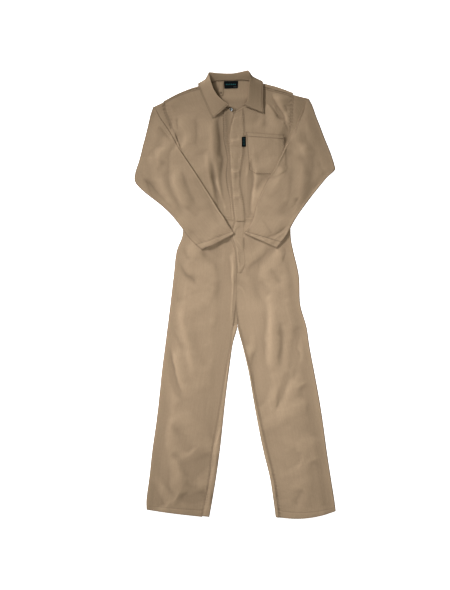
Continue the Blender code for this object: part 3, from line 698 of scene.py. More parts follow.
def makeBodiceBack():
    u, v = np.linspace(0, 1, 90)[None, :], np.linspace(0, 0.985, 66)[:, None]
    rows = bodiceBack["sides"]
    x, y = between(rows, u, v)
    topX = mix(rows[-1][0], rows[-1][2], u)
    topY = onLine(bodiceBack["top"], topX)
    y = y + (topY - mix(rows[-1][1], rows[-1][3], u)) * ease(v, 0.45, 1)
    z = backZ(x, y)
    low = backZ(topX, topY)
    onShoulder = 1 - ease(topX, *bodiceBack["neckRight"]) * (1 - ease(topX, *bodiceBack["neckLeft"]))
    wrap = onLine(bodiceBack["wrap"], topX)
    high = above(shoulderZ(topX, topY - wrap), layer["shoulderLow"])
    radius = (high - low) / 2
    reach = np.minimum(radius, wrap / 2)
    bend = np.linspace(-0.5, 0.5, 11)[:, None] * math.pi
    lap = np.linspace(0, 1, 8)[1:, None]
    bendY = mix(reach, radius, bend < 0) * (1 - np.cos(bend))
    lapY = mix(reach, wrap, lap)
    foldY = np.concatenate([bendY, lapY], 0)
    lapZ = above(shoulderZ(topX, topY - lapY), layer["shoulderLow"]) + 0.5 * np.sin(math.pi * lap)
    foldZ = np.concatenate([low + radius * (1 + np.sin(bend)), mix(high, lapZ, ease(lap, 0, 0.5))], 0)
    hemAt = np.linspace(2.5, 0, len(foldY))[:, None]
    foldY = topY - mix(hemAt, foldY, onShoulder)
    foldZ = mix(low + 0 * foldZ, foldZ, onShoulder)
    x = np.concatenate([x, topX + 0 * foldY], 0)
    y, z = np.concatenate([y, foldY], 0), np.concatenate([z, foldZ], 0)
    return makeSheet("bodiceBack", x, y, z, twill, "back_bodice")


def bodiceFront(name, panel, frontZ, extra, node):
    v, u = np.linspace(0, 1, 190)[:, None], spread(84)[None, :]
    rows = panel["rows"]
    x, y = between(rows, u, v)
    seamX, seamY = mix(rows[0][0], rows[0][2], u), mix(rows[0][1], rows[0][3], u)
    y = y + (shoulderSeamY(seamX) - 0.9 - seamY) * (1 - ease(v, 0, 0.15))
    inside = np.abs(x - alongRows(rows, 0, v))
    z = frontZ(x, y) + extra(x, y) * ease(v, 0, 0.08)
    z = above(z, layer["low"])
    fromArmhole = inside + 200 * (1 - ease(y, 560, 620))
    z = z + puckers(fromArmhole, y, 0.5, 14)
    z = mix(roundedRim(z, inside), z, ease(y, *panel["armhole"]))
    waist = 0.6 * np.maximum(nearTo(y - 289, 1.8), nearTo(y - 279.5, 1.8))
    shoulder = nearTo(shoulderSeamY(x) - y - 6, 1.6) * (np.abs(x) > 80)
    sewn = np.maximum(waist, shoulder)
    z = z - 0.35 * sewn
    return makeSheet(name, x, y, z, twill, node, sewn=sewn, plainEnds=("first", "last"))


def rightTuck(x, y):
    return 1.6 * creaseHeight(tuckCreases, x, y)


def noExtra(x, y):
    return np.zeros(np.shape(x + y))


backPiece = makeBodiceBack()
rightPiece = bodiceFront("rightBodiceFront", bodiceRight, rightFrontZ, rightTuck, "front_bodice_r")
leftPiece = bodiceFront("leftBodiceFront", bodiceLeft, leftFrontZ, noExtra, "front_bodice_l")

# bands down the front opening and the fly

bands = {
    "placket": [  # leftX leftY rightX rightY, neck to waist
        (-4, 676, 33, 699), (-18, 631, 38, 631), (-25, 579, 38, 579), (-22, 523, 34, 523),
        (-19, 466, 25, 466), (-15, 410, 23, 410), (-10, 346, 36, 346), (-3, 275, 41, 275),
    ],
    "under_placket": [
        (-46, 690, -3, 702), (-45, 628, 11, 640), (-43, 579, 14, 579), (-30, 511, 14, 511),
        (-35, 448, 14, 448), (-28, 391, 14, 391), (-20, 354, 15, 354), (-16, 280, 16, 280),
    ],
    "fly": [
        (-3, 272, 40, 272), (-14, 225, 36, 219), (0, 175, 39, 175), (5, 118, 43, 118), (8, 80, 31, 80),
    ],
}  # fmt: skip
placketCreases = [
    (-1.2, 4, 4, [(-22, 628), (-4, 632), (20, 624)]),
    (-1.4, 5, 5, [(-14, 612), (-4, 594), (16, 590)]),
    (-1, 4, 4, [(-22, 560), (0, 552), (26, 556)]),
    (-1.6, 5, 5, [(-14, 474), (4, 478), (22, 488)]),
    (-1, 4, 4, [(-18, 444), (0, 436), (20, 440)]),
    (-1.2, 5, 5, [(-10, 338), (4, 350), (22, 354)]),
    (-1, 4, 4, [(-14, 516), (4, 518), (22, 512)]),
    (-0.9, 4, 4, [(-14, 398), (4, 392), (22, 398)]),
    (-1.6, 3, 3, [(0, 684), (4, 662)]),
    (-1.4, 3, 3, [(16, 688), (12, 666)]),
    (1.2, 5, 5, [(-14, 578), (4, 576), (26, 582)]),
    (1.2, 5, 5, [(-14, 458), (4, 456), (22, 462)]),
    (1, 5, 5, [(-8, 372), (8, 368), (26, 376)]),
]
flyCreases = [
    (-1.6, 7, 7, [(4, 246), (20, 230), (30, 212)]),
    (-1.2, 5, 5, [(16, 192), (4, 182)]),
    (-1.2, 5, 5, [(12, 126), (30, 128), (46, 132)]),
    (-2.2, 3, 4, [(20, 84), (34, 78), (50, 88)]),
    (-1, 4, 4, [(8, 158), (26, 156), (46, 162)]),
]


def makeBand(name, across, down, zAt, creases, node, below):
    rows, restsOn = bands[node], [below]
    v, u = np.linspace(0, 1, down)[:, None], spread(across)[None, :]
    x, y = between(rows, u, v)
    width = alongRows(rows, 2, v) - alongRows(rows, 0, v)
    toSide = np.minimum(u, 1 - u) * width
    gather = puckers(toSide - 4, y, 0.35, 9)
    channel = 0.5 * nearTo(toSide - 4, 1.6)  # the sewn line pulls in
    full = 1.4 * ease(toSide, 0, 12) - 0.7
    lowest = -0.6 - 0.8 * np.maximum(full, 0)
    z = zAt(x, y) + full - channel + np.maximum(3.6 * creaseHeight(creases, x, y) + gather, lowest)
    sewn = 0.55 * nearTo(toSide - 4, 1.4)
    if node == "under_placket":  # in the trough beside the placket: painted shade over that strip, and no painted shade along its edges
        troughShade = (1 - ease(x, -34, -10)) * ease(y, 280, 330)
        return makeSheet(name, x, y, z, twillBand, node, sewn=0.15 * sewn, folded=0, sunkShade=troughShade)
    ends = ["first"] if node == "fly" else ["last"]
    return makeSheet(name, x, y, z, twillBand, node, sewn=sewn, plainEnds=ends)


def underBandZ(x, y):
    return above(layer["underlap"] + bodyFolds(x, y) + 0.35 * rightTuck(x, y), layer["low"]) + layer["step"]


def flyZ(x, y):  # pressed thin towards its sewn side
    return bandZ(x, y) - 0.7 * ease(x, 8, 34)


placketPiece = makeBand("placketBand", 36, 270, bandZ, placketCreases, "placket", "front_bodice_l")
underPiece = makeBand("underBand", 34, 240, underBandZ, [], "under_placket", "front_bodice_r")
flyPiece = makeBand("flyBand", 34, 140, flyZ, flyCreases, "fly", "front_leg_l")

# the patch pocket

pocket = {
    "rows": [(42, 608, 184, 597), (46, 560, 184, 550), (50, 508, 184, 500), (53, 466, 184, 463)],
    "chamfer": 15, "ease": 0.4, "hem": 15, "fullness": 2.2, "across": 138, "toBottom": 150, "toTop": 140,
}  # fmt: skip
pocketCreases = [
    (-1.6, 8, 8, [(80, 542), (90, 512), (94, 486)]),
    (-2.2, 4, 3, [(56, 496), (64, 474), (80, 458)]),
    (-1.4, 7, 7, [(124, 586), (154, 572), (180, 548)]),
    (1.4, 8, 8, [(116, 548), (132, 504), (124, 474)]),
    (-1, 6, 6, [(56, 572), (64, 542), (60, 512)]),
]


def pocketPoint(u, v):
    x, y = between(pocket["rows"], u, v)
    y = y - pocket["chamfer"] * np.minimum(1, np.minimum(u, 1 - u) / 0.2) * v**4
    return x, y


def makePocket():
    v, u = spread(96)[:, None], spread(96)[None, :]
    x, y = pocketPoint(u, v)
    toSide = np.minimum(np.minimum(u, 1 - u) * pocket["across"], (1 - v) * pocket["toBottom"] + 0 * u)
    toTop = v * pocket["toTop"] + 0 * u
    full = pocket["fullness"] * ease(toSide, 2, 26)
    folds = creaseHeight(pocketCreases, x, y) * ease(toSide, 2, 12)
    z = leftFrontZ(x, y) + layer["step"] + pocket["ease"] + full + folds
    z = z + puckers(toSide - 3, x + y, 0.4, 9) - 0.45 * nearTo(toSide - 3, 1.5)
    z = z + 0.6 * (1 - ease(toTop, 14, 16)) - 0.5 * nearTo(toTop - pocket["hem"], 1.8)
    sewn = np.maximum(nearTo(toSide - 3, 1.1), nearTo(toTop - pocket["hem"], 1.3))
    return makeSheet("chestPocket", x, y, z, twillBand, "chest_pocket", sewn=sewn)


pocketPiece = makePocket()

# sleeves, each one sheet wrapped round: lower layer, outer fold, upper layer, inner fold and a lip under it


def treesOf(pieces):
    graph = bpy.context.evaluated_depsgraph_get()
    return [BVHTree.FromObject(piece, graph) for piece in pieces]


def castDown(trees, x, y):  # top of some pieces in mm at many points, and the way they face there
    top, facing = np.zeros(x.size), np.tile((0.0, 0.0, 1.0), (x.size, 1))
    down = Vector((0, 0, -1))
    for i, (px, py) in enumerate(zip(x.ravel(), y.ravel())):
        start = Vector((px * mm, py * mm, 0.3))
        for tree in trees:
            place, normal, _, _ = tree.ray_cast(start, down)
            if place is not None and place.z / mm > top[i]:
                top[i], facing[i] = place.z / mm, normal
    return top.reshape(x.shape), facing


def topAt(trees, x, y):
    return castDown(trees, np.array([[float(x)]]), np.array([[float(y)]]))[0][0, 0]


def spreadHigh(z, times):  # cloth laid over something bridges its steps
    for _ in range(times):
        wide = np.pad(z, 1, mode="edge")
        z = np.max([wide[1:-1, 1:-1], wide[:-2, 1:-1], wide[2:, 1:-1], wide[1:-1, :-2], wide[1:-1, 2:]], 0)
    return z


def soften(z, times):
    for _ in range(times):
        wide = np.pad(z, 1, mode="edge")
        z = (4 * z + wide[:-2, 1:-1] + wide[2:, 1:-1] + wide[1:-1, :-2] + wide[1:-1, 2:]) / 8
    return z


sleeveRight = {
    "rows": [  # outX outY inX inY tailX tailY tailZ, shoulder to cuff
        (-306, 703, -298, 697, -268.6, 721, 5.9), (-316, 673, -280, 663, -259.4, 684, 5.9),
        (-325, 635, -256, 629, -245, 650, 5.9), (-334, 598, -234, 594, -234, 620, 6.6),
        (-345, 556, -210, 549, -219, 575, 9.2), (-358, 504, -180, 504, -184, 504, 9.2),
        (-373, 457, -146, 453, -150, 452, 9.2), (-374.6, 425, -118, 410, -122, 409, 9.2),
        (-356, 399, -99, 380, -103, 379, 9.2), (-318, 367, -80, 350, -84, 348, 9.2),
        (-277, 335, -60, 316, -64, 314, 9.2), (-238, 298, -41, 290, -45, 288, 9.2),
        (-204, 256, -26, 264, -30, 262, 9.2), (-168, 208, -13, 245, -17, 243, 9.2),
        (-122, 164, -2, 229, -6, 227, 9.2),
    ],
    "body": [  # the body's side below the sleeve: x at y
        (160, -222), (219, -197), (275, -194), (343, -236), (429, -266),
        (511, -279), (535, -262), (556, -240), (600, -228), (723, -268),
    ],
    "cuff": 20, "side": -1, "gape": 6,
}  # fmt: skip
sleeveLeft = {
    "rows": [
        (276, 735, 267, 726, 215, 749, 5.9), (291, 706, 253, 688, 212.2, 710, 5.9),
        (304, 669, 238, 652, 211.2, 676, 5.9), (319, 631, 225, 618, 210.5, 643, 6.6),
        (336, 586, 205, 583, 209, 605, 9.2), (358, 532, 180, 534, 184, 534, 9.2),
        (373, 485, 156, 485, 160, 485, 9.2), (374, 466, 133, 448, 137, 448, 9.2),
        (345, 438, 109, 403, 113, 403, 9.2), (314, 401, 92, 365, 96, 365, 9.2),
        (280, 358, 79, 331, 83, 331, 9.2), (244, 309, 69, 292, 73, 292, 9.2),
        (218, 268, 60, 268, 64, 268, 9.2), (195, 224, 47, 245, 51, 244, 9.2),
        (158, 174, 34, 229, 38, 228, 9.2),
    ],
    "body": [
        (160, 222), (211, 212), (276, 208), (346, 225), (436, 238),
        (530, 249), (548, 240), (570, 222), (620, 211), (755, 216),
    ],
    "cuff": 19, "side": 1, "gape": 0,
}  # fmt: skip
sleeveShape = {
    "drop": (6.0, 60.0), "rimHollow": 2.6, "hollow": 4.6, "crown": 4.0, "rimRound": 5, "rimReach": 45,
    "lip": 2.0, "lipWidth": 10,
}  # fmt: skip
rightSleeveCreases = [
    (-3, 6, 3, [(-284, 632), (-258, 598), (-232, 568)]),
    (-5, 6, 8, [(-340, 440), (-318, 406), (-296, 372), (-278, 350), (-250, 316), (-220, 278)]),
    (-2.6, 11, 8, [(-198, 474), (-180, 418), (-160, 368), (-138, 332)]),
    (-1.8, 12, 12, [(-218, 406), (-214, 342), (-194, 286)]),
    (-1.8, 8, 6, [(-190, 336), (-160, 308), (-128, 294)]),
    (-2.2, 7, 5, [(-172, 246), (-146, 216), (-112, 192)]),
    (-1.6, 5, 4, [(-184, 226), (-168, 204), (-150, 188)]),
    (-1.6, 9, 9, [(-310, 548), (-296, 492), (-274, 458)]),
    (-2.4, 12, 10, [(-258, 504), (-274, 474), (-288, 428)]),
    (1.8, 14, 14, [(-236, 458), (-206, 372), (-168, 298)]),
    (-1.8, 6, 5, [(-70, 188), (-60, 208), (-60, 226)]),
    (-1.2, 8, 8, [(-112, 392), (-86, 324), (-56, 256)]),
]
leftSleeveCreases = [
    (-2, 5, 4, [(270, 728), (252, 684), (230, 628), (206, 590)]),
    (-3.6, 5, 3, [(236, 368), (230, 332), (214, 298)]),
    (-2.2, 24, 22, [(132, 418), (162, 368), (192, 316), (206, 276)]),
    (-2.2, 5, 4, [(102, 212), (142, 222), (172, 238), (200, 260)]),
    (-1.6, 2.5, 2.5, [(166, 222), (172, 200)]),
    (-1.8, 2.5, 2.5, [(150, 204), (158, 182)]),
    (-1.5, 2.5, 2.5, [(178, 230), (186, 212)]),
    (-1.5, 2.5, 2.5, [(136, 196), (146, 182)]),
    (-1.4, 2.5, 2.5, [(116, 208), (124, 192)]),
    (2.4, 14, 14, [(180, 474), (162, 436), (132, 368)]),
    (-1.6, 12, 12, [(244, 542), (262, 486), (296, 428)]),
    (-1.6, 9, 9, [(214, 542), (200, 504), (184, 458)]),
    (-1.8, 8, 8, [(312, 504), (326, 466), (342, 444)]),
    (1.6, 14, 14, [(266, 654), (274, 578), (244, 504)]),
    (-2.4, 5, 6, [(46, 248), (56, 234), (56, 216)]),
    (-1.4, 5, 5, [(102, 290), (124, 248), (140, 226)]),
]


def sleeveRestZ(sleeve, x, y, tailZ):  # on the front, then dropping to the table beyond the body's side
    side = sleeve["side"]
    edge = np.interp(y, [p[0] for p in sleeve["body"]], [p[1] for p in sleeve["body"]])
    return mix(tailZ, layer["floor"], ease(side * (x - edge), *sleeveShape["drop"]))


def makeSleeve(name, sleeve, creases, under, node):
    shape, rows = sleeveShape, sleeve["rows"]
    v = np.linspace(0, 1, 190)[:, None]
    ox, oy, ix, iy, tx, ty, tailZ = (alongRows(rows, k, v) for k in range(7))
    width = np.hypot(ix - ox, iy - oy)
    dirX, dirY = (ix - ox) / width, (iy - oy) / width
    onSeam = 1 - ease(tailZ, 6.2, 8.4)
    trees = treesOf(under)

    def restZ(x, y):
        asLaid = sleeveRestZ(sleeve, x, y, tailZ + bodyFolds(x, y) * onSeam)
        over = soften(spreadHigh(castDown(trees, x, y)[0], 3), 4) + 1.0
        return mix(above(asLaid, over, 0.8), asLaid, onSeam * (1 - ease(np.abs(x - tx), 6, 20)))

    rim = np.minimum(shape["rimHollow"], width / 6) / 2
    lowT = np.linspace(0, 1, 34)[None, :]
    lap = sleeve["side"] * -3.5 * (1 - ease(v, 0.28, 0.36))  # the armhole seam is lapped over the front
    lowX, lowY = mix(tx + lap, ox + dirX * rim, lowT), mix(ty, oy + dirY * rim, lowT)
    lowZ = restZ(lowX, lowY) + 1.1 * onSeam * nearTo(lowT * width, 18)
    fromTail = np.hypot(lowX - tx, lowY - ty)
    lowZ = lowZ + (puckers(fromTail, ty, 0.6, 13) + 0.5 * nearTo(fromTail, 4)) * onSeam
    lowZ = above(lowZ, 1.1, 0.6)
    upT = spread(84)[None, :]
    gape = sleeve["gape"] * ease(v, 0.93, 1.0) * (1 - ease(upT, 0.02, 0.32))  # the top hem, pulled back
    alongX, alongY = np.gradient(mix(ox, ix, 0.5), axis=0), np.gradient(mix(oy, iy, 0.5), axis=0)
    size = np.hypot(alongX, alongY)
    upX = mix(ox, ix, upT) + dirX * rim * (1 - 2 * upT) - gape * alongX / size
    upY = mix(oy, iy, upT) + dirY * rim * (1 - 2 * upT) - gape * alongY / size
    base = restZ(upX, upY)
    fromOut, fromIn = upT * width, (1 - upT) * width
    out = np.clip(fromOut / shape["rimRound"], 0, 1)
    inn = np.clip(fromIn / shape["rimRound"], 0, 1)
    roundOff = 0.45 * np.sqrt(1 - (1 - out) ** 2) + 0.55 * ease(fromOut, 0, shape["rimReach"])
    roundOff = roundOff * (0.3 + 0.7 * np.sqrt(1 - (1 - inn) ** 2))
    thin = ease(width, 20, 110)
    hollow = shape["hollow"] + shape["crown"] * np.sin(math.pi * upT) ** 1.2 * (1 - 0.6 * ease(v, 0.7, 1.0))
    hollow = hollow - 1.9 * ease(v, 0.85, 1.0)
    length = np.abs(rows[0][1] - rows[-1][1])
    toCuff = (1 - v) * length * 1.1
    cuffHem = 0.7 * (1 - ease(toCuff, sleeve["cuff"] - 2, sleeve["cuff"] + 1))
    cuffHem = cuffHem - 0.9 * nearTo(toCuff - sleeve["cuff"], 2.2)
    fold = 1.5 * creaseHeight(creases, upX, upY) + 0.8 * wrinkles(upX + 500, upY)
    fold = fold * ease(fromOut, 0, 14) * ease(fromIn, 0, 10)
    gather = puckers(toCuff - sleeve["cuff"] - 4 + 0 * upX, upT * width, 0.9, 15)
    height = 2 * rim + (hollow - 2 * rim) * roundOff * thin + fold + (cuffHem + gather) * roundOff
    upZ = base + above(height, 1.6, 0.6)
    bend = np.linspace(-0.5, 0.5, 9)[None, 1:-1] * math.pi
    midZ, halfZ = (lowZ[:, -1:] + upZ[:, :1]) / 2, (upZ[:, :1] - lowZ[:, -1:]) / 2
    outArcX = ox + dirX * rim * (1 - np.cos(bend)) - gape[:, :1] * (alongX / size) * (1 + np.sin(bend)) / 2
    outArcY = oy + dirY * rim * (1 - np.cos(bend)) - gape[:, :1] * (alongY / size) * (1 + np.sin(bend)) / 2
    outArcZ = midZ + halfZ * np.sin(bend)
    inArcX, inArcY = ix - dirX * rim * (1 - np.cos(bend)), iy - dirY * rim * (1 - np.cos(bend))
    lipFall = np.minimum(shape["lip"], upZ[:, -1:] - base[:, -1:] - 1.0)
    inArcZ = upZ[:, -1:] - lipFall / 2 - lipFall / 2 * np.sin(bend)
    lipT = np.linspace(0, 1, 6)[None, :]
    lipReach = np.minimum(shape["lipWidth"], width / 2)
    lipX, lipY = ix - dirX * mix(rim, lipReach, lipT), iy - dirY * mix(rim, lipReach, lipT)
    lipZ = upZ[:, -1:] - lipFall + 0 * lipT
    x = np.concatenate([lowX, outArcX, upX, inArcX, lipX], 1)
    y = np.concatenate([lowY, outArcY, upY, inArcY, lipY], 1)
    z = np.concatenate([lowZ, outArcZ, upZ, inArcZ, lipZ], 1)
    sewn = nearTo(toCuff + 0 * x - sleeve["cuff"], 1.4)
    sewn[:, : lowX.shape[1]] = nearTo(fromTail - 5, 1.4) * onSeam
    foldOut = 1 - ease(fromOut, 0.5, 5.0)
    foldIn = 1 - ease(fromIn, 0.5, 4.0)
    ones = np.ones(lowX.shape)
    folded = np.concatenate([
        ones * (1 - ease(width * (1 - lowT), 0.5, 5.0)) + (1 - ease(fromTail, 0.5, 4.0)) * onSeam,
        np.ones(outArcX.shape), np.maximum(foldOut, foldIn), np.ones(inArcX.shape), np.ones(lipX.shape),
    ], 1)  # fmt: skip
    folded = np.minimum(np.maximum(folded, 1 - ease(toCuff + 0 * x, 0.5, 4.0)), 1)
    return makeSheet(name, x, y, z, twill, node, sewn=sewn, folded=folded)


legPieces = [bpy.data.objects[n] for n in ("rightLegFront", "leftLegFront")]
rightSleevePiece = makeSleeve(
    "rightSleeve", sleeveRight, rightSleeveCreases,
    [rightPiece, placketPiece, underPiece, flyPiece, leftPiece, *legPieces],
    "sleeve_r",
)  # fmt: skip
leftSleevePiece = makeSleeve(
    "leftSleeve", sleeveLeft, leftSleeveCreases,
    [leftPiece, pocketPiece, placketPiece, flyPiece, *legPieces],
    "sleeve_l",
)  # fmt: skip

# the collar with its stand: up from the neck seam to the roll, over it and down to the free edge

collar = {
    "rows": [  # seam xyz, roll xyz, edge xyz, and how steeply the fall drops
        (-25, 705, 12.0, -22, 710, 14.5, -84, 658, 8.6, 1.2),
        (-48, 713, 11.5, -50, 731, 20, -97, 684, 8.8, 1.2),
        (-78, 731, 10.5, -73, 757, 24, -112, 718, 9.2, 1.2),
        (-101, 753, 9.5, -84, 781, 26, -127, 752, 10, 1.2),
        (-114, 776, 9.0, -91, 802, 26, -138, 783, 10.5, 1.6),
        (-110, 785, 8.0, -94, 818, 25, -133, 792, 1.2, 4),
        (-106, 793, 7.0, -96, 832, 19, -122, 768, 0.75, 9),
        (-71, 801, 4.6, -60, 830, 12.5, -80, 757, 0.75, 10),
        (-15, 804, 4.3, -15, 829, 10.5, -15, 753, 0.75, 10),
        (42, 804, 4.6, 19, 834, 13, 45, 755, 0.75, 10),
        (76, 798, 7.0, 48, 839, 20, 84, 771, 0.75, 9),
        (84, 790, 8.0, 52, 826, 26, 93, 800, 1.2, 4),
        (89, 779, 9.0, 54, 812, 27, 105, 794, 10.5, 1.6),
        (86, 757, 9.5, 51, 778, 27, 106, 757, 10.5, 1.2),
        (70, 736, 10.5, 50, 745, 24, 105, 721, 11, 1.2),
        (52, 718, 12, 45, 722, 19, 107, 697, 10.2, 1.2),
        (32, 705, 12.5, 33, 709, 15.5, 109, 678, 9.2, 1.2),
    ],
    "rollSoftness": 5, "around": 560,
}  # fmt: skip


def makeCollar():
    v = np.linspace(0, 1, 260)[:, None]
    seamX, seamY, seamZ, rollX, rollY, rollZ, edgeX, edgeY, edgeZ, drape = (
        alongRows(collar["rows"], k, v) for k in range(10)
    )
    stand, fall = np.linspace(0, 1, 15)[None, :-1], np.linspace(0, 1, 36)[None, :] ** 1.3
    fallZ = mix(edgeZ, rollZ, (1 - fall) ** np.maximum(drape, 1))
    x = np.concatenate([mix(seamX, rollX, stand), mix(rollX, edgeX, fall)], 1)
    y = np.concatenate([mix(seamY, rollY, stand), mix(rollY, edgeY, fall)], 1)
    z = np.concatenate([mix(seamZ, rollZ, stand), np.maximum(fallZ, layer["floor"])], 1)
    for _ in range(collar["rollSoftness"]):
        for part in (x, y, z):
            part[:, 1:-1] = (part[:, :-2] + 2 * part[:, 1:-1] + part[:, 2:]) / 4
    toEdge = np.hypot(x - edgeX, y - edgeY)
    sewn = nearTo(toEdge - 6, 1.2)
    ends = np.minimum(v, 1 - v) * collar["around"]  # the collar's two short ends
    sewn = np.maximum(sewn, nearTo(ends + 0 * x - 6, 1.2))
    z = z - 0.3 * sewn
    folded = 1 - ease(np.minimum(toEdge, ends), 0.5, 5.0)
    return makeSheet("shirtCollar", x, y, z, twill, "collar", sewn=sewn, folded=folded)


collarPiece = makeCollar()

# inside the neck: a strap with an eyelet and a woven label

neckTab = {"centre": -51.5, "half": 8.5, "top": 797, "end": 745, "tip": 0.06}


def makeNeckTab():
    v = (1 - (1 - np.linspace(0, 1, 60)) ** 1.4)[:, None]
    u = spread(14)[None, :]
    y = mix(neckTab["top"], neckTab["end"], v)
    toEnd = np.minimum((y - neckTab["end"]) / neckTab["half"], 1)
    rounded = np.sqrt(np.maximum(1 - (1 - toEnd) ** 2, neckTab["tip"]))
    x = neckTab["centre"] + neckTab["half"] * (2 * u - 1) * rounded
    z = layer["floor"] + layer["neckFall"] + layer["step"] + 0.3 * np.sin(y / 11) + 0 * x
    return makeSheet("neckTab", x, y, z, twillBand, "neck_tab")


tabPiece = makeNeckTab()


labelCut = {"lift": 0.6, "crown": 0.25, "wall": 0.5}


def makeLabel(name, corners, on, node):
    v, u = np.linspace(0, 1, 24)[:, None], np.linspace(0, 1, 30)[None, :]
    (ax, ay), (bx, by), (cx, cy), (dx, dy) = corners
    x = mix(mix(ax, bx, u), mix(dx, cx, u), v)
    y = mix(mix(ay, by, u), mix(dy, cy, u), v)
    z = soften(spreadHigh(castDown(treesOf(on), x, y)[0], 1), 3) + labelCut["lift"]
    z = z + labelCut["crown"] * np.sin(math.pi * u) * np.sin(math.pi * v)
    return makeSheet(name, x, y, z, labelCloth, node, wall=labelCut["wall"])


neckLabelPiece = makeLabel(
    "neckLabel", [(-41, 799), (12, 800.5), (11, 772.5), (-39, 771)],
    [backPiece], "neck_label",
)  # fmt: skip
pocketLabelPiece = makeLabel(
    "pocketTabLabel", [(26, 590), (41, 591), (41, 554), (26, 553)],
    [placketPiece, leftPiece], "pocket_label",
)  # fmt: skip

# press stud at the throat, turned from its profile

stud = {"place": (-13, 693), "lift": 0.35, "profile": [  # each point of the profile: radius and height
    (0.0, 1.5), (2.4, 1.6), (3.0, 2.0), (3.5, 2.55), (4.4, 2.6), (5.6, 2.35),
    (6.5, 1.6), (6.95, 0.8), (6.6, 0.15), (4.0, 0.0),
]}  # fmt: skip


def makeStud():
    x, y = stud["place"]
    base = topAt(treesOf([underPiece, placketPiece]), x, y)
    deselectAll()
    bpy.ops.mesh.primitive_circle_add(vertices=48, radius=stud["profile"][1][0] * mm, fill_type="TRIFAN")
    cap = bpy.context.object
    cap.name = cap.data.name = "pressStud"
    setMode("EDIT")
    bpy.ops.mesh.select_all(action="DESELECT")
    setMode("OBJECT")
    for vert in cap.data.vertices:
        vert.co.z = stud["profile"][0 if vert.co.length < 0.1 * mm else 1][1] * mm
    onRim = [vert.co.length > (0.1 + stud["profile"][1][1]) * mm for vert in cap.data.vertices]
    for edge in cap.data.edges:
        edge.select = all(onRim[i] for i in edge.vertices)
    setMode("EDIT")
    for (r0, z0), (r1, z1) in zip(stud["profile"][1:], stud["profile"][2:]):
        bpy.ops.mesh.extrude_edges_move(TRANSFORM_OT_translate={"value": (0, 0, (z1 - z0) * mm)})
        bpy.ops.transform.resize(value=(r1 / r0, r1 / r0, 1), center_override=(0, 0, 0))
    bpy.ops.mesh.edge_face_add()
    bpy.ops.mesh.select_all(action="SELECT")
    bpy.ops.mesh.normals_make_consistent(inside=False)
    setMode("OBJECT")
    bpy.ops.transform.translate(value=(x * mm, y * mm, (base + stud["lift"]) * mm))
    applyTransform()
    bpy.ops.object.shade_smooth_by_angle(angle=math.radians(40))
    cap.data.materials.append(nickel)
    finishPiece(cap, ["press_stud"])
    print("pressStud: on the band at", round(base, 2), "mm")


makeStud()

# a row of plain woven hexagons on each label, and the eyelet of the strap

labelMarks = {
    "height": 0.3, "lift": 0.12, "bevel": 0.1, "neckRadius": 2.7, "neckPitch": 6.6,
    "sizeRadius": 1.2, "sizePitch": 3.6, "pocketRadius": 1.9, "pocketPitch": 5.4,
}  # fmt: skip


def hexagons(name, places, radius, under, material, turn=0.0):
    trees, marks = treesOf([under]), []
    for x, y in places:
        top = topAt(trees, x, y)
        deselectAll()
        bpy.ops.mesh.primitive_cylinder_add(
            vertices=6, radius=radius * mm, depth=labelMarks["height"] * mm,
            location=(x * mm, y * mm, (top + labelMarks["lift"]) * mm), rotation=(0, 0, turn),
        )  # fmt: skip
        mark = bpy.context.object
        setMode("EDIT")
        bpy.ops.mesh.select_all(action="SELECT")
        bpy.ops.mesh.bevel(offset=labelMarks["bevel"] * mm, segments=2)
        setMode("OBJECT")
        marks.append(mark)
    deselectAll()
    for mark in marks:
        mark.select_set(True)
    bpy.context.view_layer.objects.active = marks[0]
    bpy.ops.object.join()
    applyTransform()
    piece = bpy.context.object
    piece.name = piece.data.name = name
    piece.data.materials.append(material)
    finishPiece(piece, [])


neckMarks = [(-32 + labelMarks["neckPitch"] * i, 787) for i in range(6)]
sizeMarks = [(-4 + labelMarks["sizePitch"] * i, 777.5) for i in range(4)]
pocketMarks = [(33.5, 582 - labelMarks["pocketPitch"] * i) for i in range(5)]
hexagons("neckLabelMarks", neckMarks, labelMarks["neckRadius"], neckLabelPiece, labelMark)
hexagons("neckLabelSizeMark", sizeMarks, labelMarks["sizeRadius"], neckLabelPiece, greyYarn)
hexagons("pocketLabelMarks", pocketMarks, labelMarks["pocketRadius"], pocketLabelPiece, labelMark, 0.5)

eyelet = {"place": (-52.5, 755.5), "ring": 2.9, "wire": 0.85, "lift": 0.1, "flat": 0.55}


def makeEyelet():
    x, y = eyelet["place"]
    top = topAt(treesOf([tabPiece]), x, y)
    deselectAll()
    bpy.ops.mesh.primitive_torus_add(
        major_segments=32, minor_segments=10,
        major_radius=eyelet["ring"] * mm, minor_radius=eyelet["wire"] * mm,
        location=(x * mm, y * mm, (top + eyelet["lift"]) * mm),
    )  # fmt: skip
    ring = bpy.context.object
    bpy.ops.transform.resize(value=(1, 1, eyelet["flat"]))
    applyTransform()
    bpy.ops.object.shade_smooth()
    ring.name = ring.data.name = "strapEyelet"
    ring.data.materials.append(eyeletDark)
    finishPiece(ring, [])


makeEyelet()

# sewing thread: one stitch modelled, then copied along each seam

stitchSize = {"length": 2.3, "width": 0.55, "height": 0.4, "pitch": 3.3, "dive": 0.25, "lift": 0.08}


def makeStitch():
    deselectAll()
    bpy.ops.mesh.primitive_ico_sphere_add(subdivisions=1, radius=mm / 2)
    stitch = bpy.context.object
    bpy.ops.transform.resize(value=(stitchSize["length"], stitchSize["width"], stitchSize["height"]))
    applyTransform()
    for vert in stitch.data.vertices:  # its ends dive into the needle holes
        vert.co.z -= stitchSize["dive"] * mm * (abs(vert.co.x) / (stitchSize["length"] * mm / 2)) ** 2
    return stitch


oneStitch = makeStitch()


